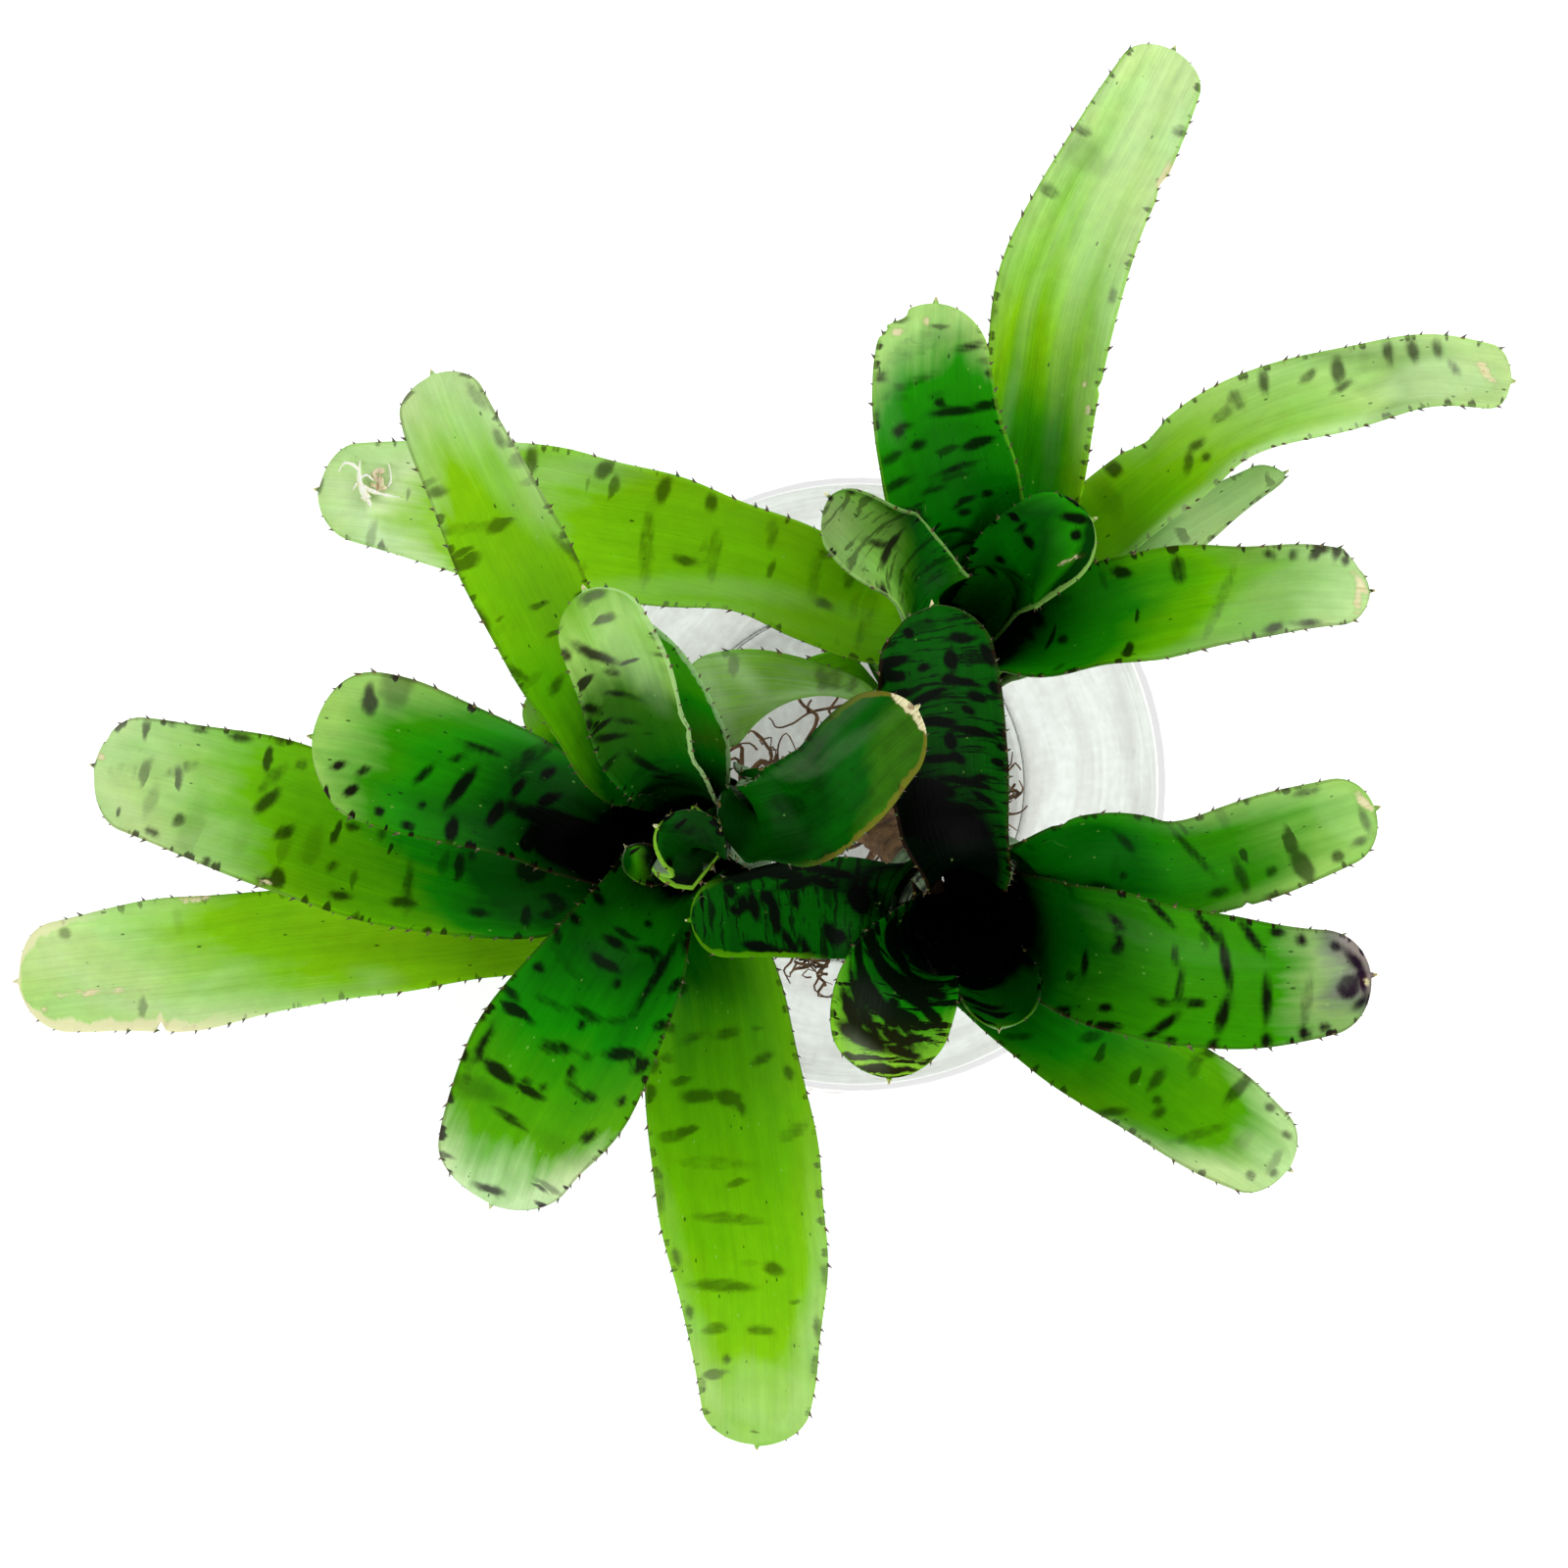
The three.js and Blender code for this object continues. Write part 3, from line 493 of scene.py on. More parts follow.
def leaf_wither() -> NodeTree:
    """Makes the group of dead, dried tissue.

    Returns:
        A tree with Mask, 1 where the leaf has dried, and Stain, its darker border and spots.
    """
    group = Group("leaf_wither", Place="Vector", Dry=-5.0)
    place = group["Place"]
    depth = (place.noise((0.5, 0.35, 1), 4, 0.6) - 0.5) * 2.6 + group["Dry"]
    mask = depth.span(*WITHER_RANGE)
    border = depth.span(-0.7, 0.1) * depth.span(0.3, 1.0, 1.0, 0.0)
    blots = place.noise((0.45, 0.5, 1), 3, 0.6).span(0.6, 0.68)
    return group.give(Mask=mask, Stain=(border * 0.14).most(blots * (mask * 0.6)))


def leaf_underside() -> NodeTree:
    """Makes the group of an underside's scurf, which lies in fine silvery lines.

    Returns:
        A tree whose Scurf is how much of the grey scales covers the green.
    """
    group = Group("leaf_underside", Place="Vector")
    place = group["Place"]
    bands, dust = place.noise((1.4, 0.05, 1), 4, 0.6, 0.3), place.noise((2.2, 2.2, 1))
    total = bands * 0.7 + (dust * 0.35 + place.noise((0.12, 0.07, 1)) * 0.6)
    return group.give(Scurf=total.span(0.66, 0.96))


def leaf_relief() -> NodeTree:
    """Makes the group of a leaf's fine relief: ribs along it and soft swellings.

    Returns:
        A tree with a Height from 0 to about 1.
    """
    group = Group("leaf_relief", Place="Vector")
    place = group["Place"]
    ribs, threads = place.noise((1.5, 0.012, 1), 2, 0.6), place.noise((4.5, 0.06, 1), 1)
    dents = place.noise((0.28, 0.13, 1), 3)
    return group.give(Height=ribs * 0.4 + (threads * 0.14 + dents * 0.46))


def fibre_bark() -> NodeTree:
    """Makes the group of brown, fibrous bark on stems, runners and roots.

    Returns:
        A tree with Fibres and Patches from 0 to 1, and a Height.
    """
    group = Group("fibre_bark", Place="Vector", Ring=0.0)
    fibres = group["Place"].noise((1.8, 0.16, 1), 4, 0.65)
    patches = group["Place"].noise((0.22, 0.22, 1), 4, 0.6)
    return group.give(Fibres=fibres.span(0.3, 0.7), Patches=patches.span(0.35, 0.65),
                      Height=fibres * 0.6 + group["Ring"] * 0.5)


def blank(name: str) -> tuple[Material, Wiring, bpy.types.Node]:
    """Starts a material.

    Args:
        name: Its name.

    Returns:
        The material, the wiring of its tree and its surface shader.
    """
    material = bpy.data.materials.new(name)
    material.use_nodes = True
    return material, Wiring(material.node_tree), material.node_tree.nodes["Principled BSDF"]


# ---------------------------------------------------------------- meshes and curves


def unit(vectors: Array) -> Array:
    """Returns the vectors at length 1."""
    return vectors / np.linalg.norm(vectors, axis=-1, keepdims=True)


def square_to(axis: Array, directions: Array) -> Array:
    """Returns the part of each direction that is square to its axis, at length 1."""
    return unit(directions - axis * np.sum(directions * axis, axis=-1, keepdims=True))


def smooth(share: Array | float) -> Array:
    """Returns the share eased in and out, and held between 0 and 1."""
    held = np.clip(share, 0.0, 1.0)
    return held * held * (3 - 2 * held)


def around(sides: int) -> Array:
    """Returns the angles of points that are evenly spaced round a circle."""
    return np.linspace(0, 2 * np.pi, sides, endpoint=False)


def catmull_rom(points: Array, samples: int, centripetal: bool = True) -> Array:
    """Draws a smooth curve through points.

    Args:
        points: The points, or other rows of numbers.
        samples: Points worked out between two of them.
        centripetal: Whether the curve takes account of uneven distances.

    Returns:
        The points of the curve.
    """
    ends = np.vstack([2 * points[0] - points[1], points, 2 * points[-1] - points[-2]])
    share = np.linspace(0, 1, samples, endpoint=False)[:, None]
    rows = []
    for before, start, end, after in zip(ends, ends[1:], ends[2:], ends[3:]):
        leave, arrive = (end - before) / 2, (after - start) / 2
        if centripetal:
            pairs = ((before, start), (start, end), (end, after))
            first, middle, last = (max(np.linalg.norm(b - a), 1e-9) ** 0.5 for a, b in pairs)
            leave = middle * ((start - before) / first - (end - before) / (first + middle)
                              + (end - start) / middle)
            arrive = middle * ((end - start) / middle - (after - start) / (middle + last)
                               + (after - end) / last)
        step = end - start
        rows.append(start + leave * share + (3 * step - 2 * leave - arrive) * share**2
                    + (leave + arrive - 2 * step) * share**3)
    return np.vstack([*rows, points[-1:]])


def running_lengths(points: Array) -> Array:
    """Returns how far along a line each of its points is."""
    return np.concatenate([[0.0], np.cumsum(np.linalg.norm(np.diff(points, axis=0), axis=1))])


def between(at: Array, lengths: Array, values: Array) -> Array:
    """Returns rows of numbers at lengths that lie between the known ones."""
    return np.stack([np.interp(at, lengths, column) for column in values.T], axis=1)


def wall_faces(rings: int, sides: int, first: int = 0) -> list[list[int]]:
    """Makes the faces between rings of points.

    Args:
        rings: How many rings there are.
        sides: Points in each.
        first: Number of the first point.

    Returns:
        Point numbers of each face.
    """
    corners = ((first + ring * sides + side, first + ring * sides + (side + 1) % sides)
               for ring in range(rings - 1) for side in range(sides))
    return [[a, b, b + sides, a + sides] for a, b in corners]


def plain_mesh(
    name: str, points: Array, faces: Sequence[Sequence[int]], edges: Sequence[Sequence[int]] = (),
    **attributes: Array,
) -> Mesh:
    """Makes a mesh.

    Args:
        name: The mesh's name.
        points: Its points, in millimetres.
        faces: Point numbers of each face.
        edges: Point numbers of each loose edge.
        **attributes: Numbers or vectors for each point.

    Returns:
        The mesh, in metres.
    """
    mesh = bpy.data.meshes.new(name)
    mesh.from_pydata((np.asarray(points) * MM).tolist(), list(edges), [list(f) for f in faces])
    for label, values in attributes.items():
        flat = values.ndim == 1
        layer = mesh.attributes.new(label, "FLOAT" if flat else "FLOAT_VECTOR", "POINT")
        layer.data.foreach_set("value" if flat else "vector", values.astype(np.float32).ravel())
    mesh.polygons.foreach_set("use_smooth", [True] * len(mesh.polygons))
    mesh.update()
    return mesh


def shown(name: str, mesh: Mesh, *materials: Material) -> Piece:
    """Puts a mesh in the scene.

    Args:
        name: The piece's name.
        mesh: Its mesh.
        *materials: Its materials, where the mesh hasn't got them yet.

    Returns:
        The new object, at the origin.
    """
    for material in materials:
        mesh.materials.append(material)
    piece = bpy.data.objects.new(name, mesh)
    bpy.context.scene.collection.objects.link(piece)
    return piece


def finished(
    name: str, mesh: Mesh, slot: str, node: str | None, *materials: Material
) -> Piece:
    """Puts a finished piece of the plant in the scene.

    Args:
        name: The piece's name.
        mesh: Its mesh.
        slot: Not used.
        node: The CAD node that it stands for.
        *materials: Its materials, where the mesh hasn't got them yet.

    Returns:
        The piece.
    """
    piece = shown(name, mesh, *materials)
    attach(piece, BODY)
    if node:
        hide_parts(node)
    return piece


def joined(name: str, meshes: Iterable[Mesh]) -> Mesh:
    """Joins meshes, with the materials that each of them has.

    Args:
        name: The new mesh's name.
        meshes: The meshes, which are then removed.

    Returns:
        One mesh with all their faces.
    """
    whole, materials = bmesh.new(), []
    for mesh in meshes:
        first = len(whole.faces)
        whole.from_mesh(mesh)
        whole.faces.ensure_lookup_table()
        for face in whole.faces[first:]:
            face.material_index += len(materials)
        materials.extend(mesh.materials)
        bpy.data.meshes.remove(mesh)
    made = bpy.data.meshes.new(name)
    whole.to_mesh(made)
    whole.free()
    for material in materials:
        made.materials.append(material)
    return made


def grown(name: str, seedbed: Mesh, tree: NodeTree, **inputs: Any) -> Mesh:
    """Runs a geometry tree on a mesh.

    Args:
        name: Name of the result.
        seedbed: The lines that the tree works on.
        tree: The geometry tree.
        **inputs: A value for each named input.

    Returns:
        What the tree makes, as a plain mesh.
    """
    holder = shown(name + "_holder", seedbed)
    modifier = holder.modifiers.new("grow", "NODES")
    modifier.node_group = tree
    sockets = {i.name: i.identifier for i in tree.interface.items_tree if i.in_out == "INPUT"}
    for label, value in inputs.items():
        modifier[sockets[label]] = value
    graph = bpy.context.evaluated_depsgraph_get()
    made = bpy.data.meshes.new_from_object(
        holder.evaluated_get(graph), preserve_all_data_layers=True, depsgraph=graph)
    made.name = name
    holder.modifiers.remove(modifier)
    bpy.data.objects.remove(holder)
    bpy.data.meshes.remove(seedbed)
    return made


FIRST_SIDE = np.array([[0.3, 1.0, 0.2]])  # no tube starts in this direction


def tube(points: Array, radii: Array) -> tuple[Array, list[list[int]], Array]:
    """Makes a closed tube whose radius may change at every point round it.

    Args:
        points: The tube's middle line.
        radii: Radius for each point and side.

    Returns:
        Points, faces, and a place on the bark for each point: round, along and nothing.
    """
    rings, sides = radii.shape
    ahead = unit(np.gradient(points, axis=0))
    frames = [square_to(ahead[:1], FIRST_SIDE)[0]]
    for direction in ahead[1:]:
        frames.append(square_to(direction, frames[-1]))
    first = np.array(frames)
    second = np.cross(ahead, first)
    angles = around(sides)
    spokes = first[:, None] * np.cos(angles)[:, None] + second[:, None] * np.sin(angles)[:, None]
    faces = wall_faces(rings, sides)
    faces += [list(range(sides))[::-1], [(rings - 1) * sides + side for side in range(sides)]]
    lengths = np.repeat(running_lengths(points)[:, None], sides, axis=1)
    place = np.stack([radii * np.abs(angles - np.pi), lengths, np.zeros_like(radii)], axis=-1)
    skin = points[:, None] + spokes * radii[..., None]
    return skin.reshape(-1, 3), faces, place.reshape(-1, 3)


# ---------------------------------------------------------------- geometry trees


class Growth(Group):
    """A geometry tree with named inputs, which grows on lines and ends in one plain mesh."""

    def __init__(self, name: str, **inputs: float) -> None:
        """Makes the tree, with a first value for each size."""
        super().__init__(name, "GeometryNodeTree", Geometry="Geometry", **inputs, Seed=1,
                         Material="Material")

    def resampled(self, step: Term) -> Term:
        """Returns the input's lines as curves with points a step apart."""
        curve = self.node("GeometryNodeMeshToCurve", {0: self["Geometry"]})[0]
        return self.node("GeometryNodeResampleCurve", {"Curve": curve, "Length": step},
                         mode="LENGTH")[0]

    def moved(self, geometry: Term, **inputs: Term) -> Term:
        """Returns the geometry with an Offset or a new Position of its points."""
        return self.node("GeometryNodeSetPosition", {"Geometry": geometry} | inputs)[0]

    def labelled(self, geometry: Term, name: str, value: Term) -> Term:
        """Returns the geometry with a number stored for each point."""
        return self.node("GeometryNodeStoreNamedAttribute",
                         {"Geometry": geometry, "Name": name, "Value": value})[0]

    def stored(self, name: str, kind: str = "FLOAT") -> Term:
        """Returns an attribute of the input's points."""
        return self.node("GeometryNodeInputNamedAttribute", {"Name": name}, data_type=kind)[0]

    def position(self) -> Term:
        """Returns where each point is."""
        return self.node("GeometryNodeInputPosition", {})[0]

    def random(self, low: Any, high: Any, salt: int) -> Term:
        """Gives each point a random number or vector.

        Args:
            low: The least.
            high: The most.
            salt: Added to the tree's seed, so that two draws differ.

        Returns:
            The random value.
        """
        wide = isinstance(low, tuple)
        first, output, kind = (0, 0, "FLOAT_VECTOR") if wide else (2, 1, "FLOAT")
        return self.node("FunctionNodeRandomValue", {
            first: low, first + 1: high, "Seed": self["Seed"] + float(salt)},
            data_type=kind)[output]

    def end(self, geometry: Term) -> NodeTree:
        """Realizes, smooths and dresses the result, and ends the tree.

        Args:
            geometry: What has grown.

        Returns:
            The tree.
        """
        plain = self.node("GeometryNodeRealizeInstances", {0: geometry})[0]
        soft = self.node("GeometryNodeSetShadeSmooth", {0: plain})[0]
        return self.give(Geometry=self.node(
            "GeometryNodeSetMaterial", {"Geometry": soft, "Material": self["Material"]})[0])


def spine_rows() -> NodeTree:
    """Makes the tree that sets hooked spines along leaf margins.

    Returns:
        A tree for lines with the attributes outward, forward and spine_size.
    """
    tree = Growth("spine_rows", Spacing=4.5 * MM, Length=1.3 * MM, Width=0.8 * MM, Lean=0.7)
    length = tree["Length"]
    forward, outward = (tree.stored(n, "FLOAT_VECTOR") for n in ("forward", "outward"))
    wander = tree.random(-0.28, 0.28, 1) * tree["Spacing"]
    roots = tree.moved(tree.resampled(tree["Spacing"]),
                       Offset=forward * wander + outward * (length * -0.16))

    cone = tree.node("GeometryNodeMeshCone", {
        "Vertices": 6, "Side Segments": 4, "Radius Top": 0.0, "Radius Bottom": tree["Width"],
        "Depth": length})[0]
    ahead, aside, height = tree.position().parts()
    share = height / length
    hook = share.most(0.0) ** 1.7 * (length * tree["Lean"])
    waist = abs(share - 0.55) * 0.8 + 0.6
    hooked = tree.moved(cone, Position=tree.vector(hook + ahead * waist, aside * 0.42, height))

    turn = tree.node("FunctionNodeAxesToRotation",
                     {0: outward + tree.random((-0.22,) * 3, (0.22,) * 3, 2), 1: forward},
                     primary_axis="Z", secondary_axis="X")[0]
    size = tree.random(0.62, 1.22, 3) * tree.stored("spine_size")
    return tree.end(tree.node("GeometryNodeInstanceOnPoints", {
        "Points": roots, "Instance": tree.labelled(hooked, "spine_share", share),
        "Rotation": turn, "Scale": tree.vector(size, size, size)})[0])


def winding_threads() -> NodeTree:
    """Makes the tree that turns lines into winding, tapering roots or fibres.

    Returns:
        A tree for lines with the attributes thread_radius and loose.
    """
    tree = Growth("winding_threads", Step=1.2 * MM, Wander=2.0 * MM, Waves=90.0, Taper=0.6)
    noise = tree.node("ShaderNodeTexNoise", {
        "Vector": tree.position() * tree["Waves"], "Scale": 1.0, "Detail": 2.0,
        "W": tree["Seed"]}, noise_dimensions="4D")
    swing = (noise["Color"] - (0.5,) * 3) * (tree["Wander"] * tree.stored("loose"))
    line = tree.moved(tree.resampled(tree["Step"]), Offset=swing)
    along = tree.node("GeometryNodeSplineParameter", {})["Factor"]
    size = tree.stored("thread_radius") * ((1.0 - along * tree["Taper"])
                                           * (noise["Fac"] * 0.5 + 0.75))
    circle = tree.node("GeometryNodeCurvePrimitiveCircle", {"Resolution": 8, "Radius": 1.0})[0]
    return tree.end(tree.node("GeometryNodeCurveToMesh", {
        "Curve": line, "Profile Curve": circle, "Scale": size, "Fill Caps": True})[0])


# ---------------------------------------------------------------- leaves


class Rosette(Enum):
    """A rosette's stem: its base, a point above it that it leans towards, and its throat."""

    LEFT = ((-27, -8, 36), (-40.5, -12, 95), 6)
    FRONT = ((16, -20, 36), (26, -33.5, 95), 12)
    BACK = ((17, 25, 36), (28.5, 42, 95), 8)

    @property
    def base(self) -> Array:
        """Returns where the rosette starts on its stem."""
        return np.array(self.value[0], float)

    @property
    def axis(self) -> Array:
        """Returns the direction in which the stem grows."""
        return unit(np.array(self.value[1], float) - self.base)

    @property
    def throat(self) -> float:
        """Returns the radius of the innermost cup."""
        return float(self.value[2])


@dataclass(frozen=True)
class Leaf:
    """One leaf: where it grows, and the stations of its blade.

    Attributes:
        label: Its rosette and number.
        layer: Its place round the stem. Layer 0 is the youngest and innermost.
        wrap: Half the angle that its sheath clasps, in degrees.
        flare: How far the sheath opens at its top.
        blade: Stations: a point of the midline, half the width over the curve of the leaf, the
            angle between the middle and the margin, and, where there is one, the turn about the
            midline.
    """

    label: str
    layer: int
    wrap: float
    sheath_top: float
    flare: float
    blade: tuple[tuple[float, ...], ...]

    @property
    def name(self) -> str:
        """Returns the name of its CAD node."""
        return "leaf_" + self.label

    @property
    def rosette(self) -> Rosette:
        """Returns the rosette that it grows in."""
        return Rosette[self.label.split("_")[0].upper()]


@dataclass(frozen=True)
class Sheath:
    """How sheaths overlap round a stem."""

    outer_layer: int = 7
    outer_height: float = 3
    height_step: float = 2.4
    inner_radius: float = 3
    inner_radius_step: float = 0.35
    throat_step: float = 1.75
    rise: float = 9
    first_step: float = 5
    step: float = 9
    least_step: float = 4
    base_wrap: float = 8
    flare_wrap: float = 4
    turn_share: float = 0.8

    def stations(self, leaf: Leaf) -> list[tuple[float, float, float]]:
        """Works out a sheath, which clasps the stem as part of a cone that opens upwards.

        Args:
            leaf: The sheath's leaf.

        Returns:
            Height on the stem, radius and wrap in degrees of each station.
        """
        foot = self.outer_height + self.height_step * (self.outer_layer - leaf.layer)
        foot_radius = self.inner_radius + self.inner_radius_step * leaf.layer
        opening = leaf.rosette.throat + self.throat_step * leaf.layer - foot_radius
        heights = [foot, foot + self.first_step]
        while heights[-1] + self.step < leaf.sheath_top:
            heights.append(heights[-1] + self.step)
        if leaf.sheath_top - heights[-1] > self.least_step:
            heights.append(leaf.sheath_top)
        radii = [foot_radius + opening * (1 - math.exp(-(h - foot) / self.rise)) for h in heights]
        rise = max(1.0, heights[-1] - foot)
        wraps = [leaf.wrap + self.base_wrap * (1 - (h - foot) / rise) for h in heights]
        flared = (heights[-1] + self.step, radii[-1] + leaf.flare, leaf.wrap - self.flare_wrap)
        return [*zip(heights, radii, wraps), flared]


@dataclass
class LeafCourse:
    """The midline of a leaf and its sections, from inside the sheath to the tip."""

    leaf: Leaf
    sheath: Sheath = Sheath()
    samples: int = 24
    tip_ratio: float = 0.9
    points: Array = field(init=False)
    shapes: Array = field(init=False)
    lengths: Array = field(init=False)
    along: Array = field(init=False)
    upper: Array = field(init=False)
    sheath_end: float = field(init=False)

    def __post_init__(self) -> None:
        """Works the course out from the leaf's stations."""
        leaf, base, axis = self.leaf, self.leaf.rosette.base, self.leaf.rosette.axis
        blade = np.array([(*station, 0)[:6] for station in leaf.blade], float)
        side = square_to(axis, blade[0, :3] - base)
        sheath = self.sheath.stations(leaf)
        on_stem = np.array([base + axis * height + side * radius for height, radius, _ in sheath])
        wrapped = np.array([(math.radians(wrap) * radius, wrap, 0) for _, radius, wrap in sheath])
        self.points = catmull_rom(np.vstack([on_stem, blade[:, :3]]), self.samples)
        self.shapes = catmull_rom(np.vstack([wrapped, blade[:, 3:]]), self.samples, False)
        self.lengths = running_lengths(self.points)

        last, count = len(self.lengths) - 1, len(sheath)
        at = [min(self.samples * (count + step), last) for step in (-1, 0, 1)]
        self.sheath_end, blade_start, level_from = self.lengths[at]
        direction = unit(np.gradient(self.points, axis=0))
        turn_from = self.sheath.turn_share * self.sheath_end
        turned = smooth((self.lengths - turn_from) / (blade_start - turn_from))[:, None]
        levelled = smooth((self.lengths - self.sheath_end)
                          / (level_from - self.sheath_end))[:, None]
        level = square_to(direction, np.array([[0.0, 0.0, 1.0]]))
        self.along = unit(axis * (1 - turned) + direction * turned)
        self.upper = square_to(self.along, level * levelled - side * (1 - levelled))

    @property
    def length(self) -> float:
        """Returns the length of the midline."""
        return float(self.lengths[-1])

    @property
    def tip_length(self) -> float:
        """Returns the length of the rounded tip."""
        return self.tip_ratio * float(self.shapes[-1, 0])

    def into_tip(self, lengths: Array) -> Array:
        """Returns how far into the rounded tip lengths are, from 0 to 1."""
        return np.clip((lengths - (self.length - self.tip_length)) / self.tip_length, 0, 1)

    def blade_share(self, lengths: Array) -> Array:
        """Returns how far along the blade lengths are, from the throat to the tip."""
        return (lengths - self.sheath_end) / (self.length - self.sheath_end)

    def plain_half_widths(self, lengths: Array) -> Array:
        """Returns the half widths of a whole, undamaged leaf."""
        full = np.interp(lengths, self.lengths, self.shapes[:, 0])
        return full * np.sqrt(1 - self.into_tip(lengths)**2)

    def sheet(self, lengths: Array, widths: Array, across: Array) -> tuple[Array, Array, Array]:
        """Finds points of the leaf's middle sheet.

        Args:
            lengths: Where along the midline each row is.
            widths: Half width of each row, on the left and on the right.
            across: From -1 at the left margin to 1 at the right, the same in each row.

        Returns:
            The points, and the directions there that are square to the sheet and outwards.
        """
        centre = between(lengths, self.lengths, self.points)
        along = unit(between(lengths, self.lengths, self.along))
        upper = square_to(along, between(lengths, self.lengths, self.upper))
        shape = between(lengths, self.lengths, self.shapes)
        centre = centre + along * np.maximum(0.0, lengths - self.length)[:, None]
        right = np.cross(along, upper)
        roll = np.radians(shape[:, 2:])
        upper, right = (upper * np.cos(roll) + right * np.sin(roll),
                        right * np.cos(roll) - upper * np.sin(roll))
        cup = np.radians(shape[:, 1])
        reach = np.where(across < 0, widths[:, :1], widths[:, 1:]) * across
        angle = (reach * (cup / shape[:, 0])[:, None])[..., None]
        radius = (shape[:, 0] / cup)[:, None, None]
        upper, right = upper[:, None], right[:, None]
        points = centre[:, None] + radius * (right * np.sin(angle) + upper * (1 - np.cos(angle)))
        return (points, upper * np.cos(angle) - right * np.sin(angle),
                right * np.cos(angle) + upper * np.sin(angle))


@dataclass(frozen=True)
class Patch:
    """A mark, patch of painted sheen or dried place on a leaf, as an ellipse. Lengths are in
    millimetres.

    Attributes:
        share: Where along the blade it is, 0 at the throat and 1 at the tip.
        across: Where across it is, -1 at the left margin and 1 at the right.
        tilt: Turn in degrees.
    """

    share: float
    across: float
    half_across: float
    half_along: float
    tilt: float
    weight: float


def read_patches(text: str) -> dict[str, list[Patch]]:
    """Reads patches that are written as whole numbers.

    Args:
        text: For each leaf its label and groups of share and across in hundredths, both halves in
            tenths of a millimetre, tilt in degrees and weight in hundredths.

    Returns:
        The patches of each leaf, by its label.
    """
    scales = (0.01, 0.01, 0.1, 0.1, 1, 0.01)
    words = re.split(r"([a-z]+_\d+)", text)[1:]
    return {label: [Patch(*(int(part) * scale for part, scale in zip(group.split(), scales)))
                    for group in groups.split(";")]
            for label, groups in zip(words[::2], words[1::2])}


@dataclass(frozen=True)
class Nick:
    """A bite out of a margin: share along the blade, side, depth and half length."""

    share: float
    side: int
    depth: float
    half_length: float


@dataclass(frozen=True)
class LeafFinish:
    """Colours, markings, damage and painted light of one leaf. Lengths are in millimetres.

    Attributes:
        run: Position in hundredths and name of each colour from the throat to the tip. The
            near-black at the throat is partly painted shade, and the pale end at the tip partly a
            painted reflection.
        slant: How far the run is ahead on the right.
        halo: How far it is ahead at the margins; above zero this paints a pale glow of light along
            them.
        full: How dark a bar of the pattern is before it shows in full.
        dark: How strongly bars show.
        dry_tip: How much of the tip has dried.
        rim_first: Where along the blade the line at the margin starts.
    """

    run: str
    bars: float = 0.15
    bar_size: tuple[float, float] = (4.0, 1.5)
    full: float = 0.85
    dark: float = 1.0
    bands: float = 0.0
    dry_tip: float = -0.6
    nicks: tuple[Nick, ...] = ()
    rim: Tint = Tint.UMBER
    rim_width: float = 0.35
    rim_strength: float = 0.3
    rim_first: float = -1.0
    rim_side: int = 0
    slant: float = 0.0
    halo: float = 0.0
    specks: float = 0.1
    # strength of the painted sheen, a pale reflection painted into the colour
    sheen: float = 0.3
    drift: float = 0.22
    warmth: float = 0.08
    below: Tint = Tint.DUSK
    dead: Tint = Tint.STRAW
    streaks: float = 0.3
    scurf: float = 0.6
    scuffs: float = 0.12

    def set_stops(self, ramp: bpy.types.ColorRamp) -> None:
        """Sets a colour ramp to the leaf's run."""
        words = self.run.split()
        while len(ramp.elements) < len(words) // 2:
            ramp.elements.new(0.5)
        for element, position, name in zip(ramp.elements, words[::2], words[1::2]):
            element.position, element.color = int(position) / 100, Tint[name].linear()


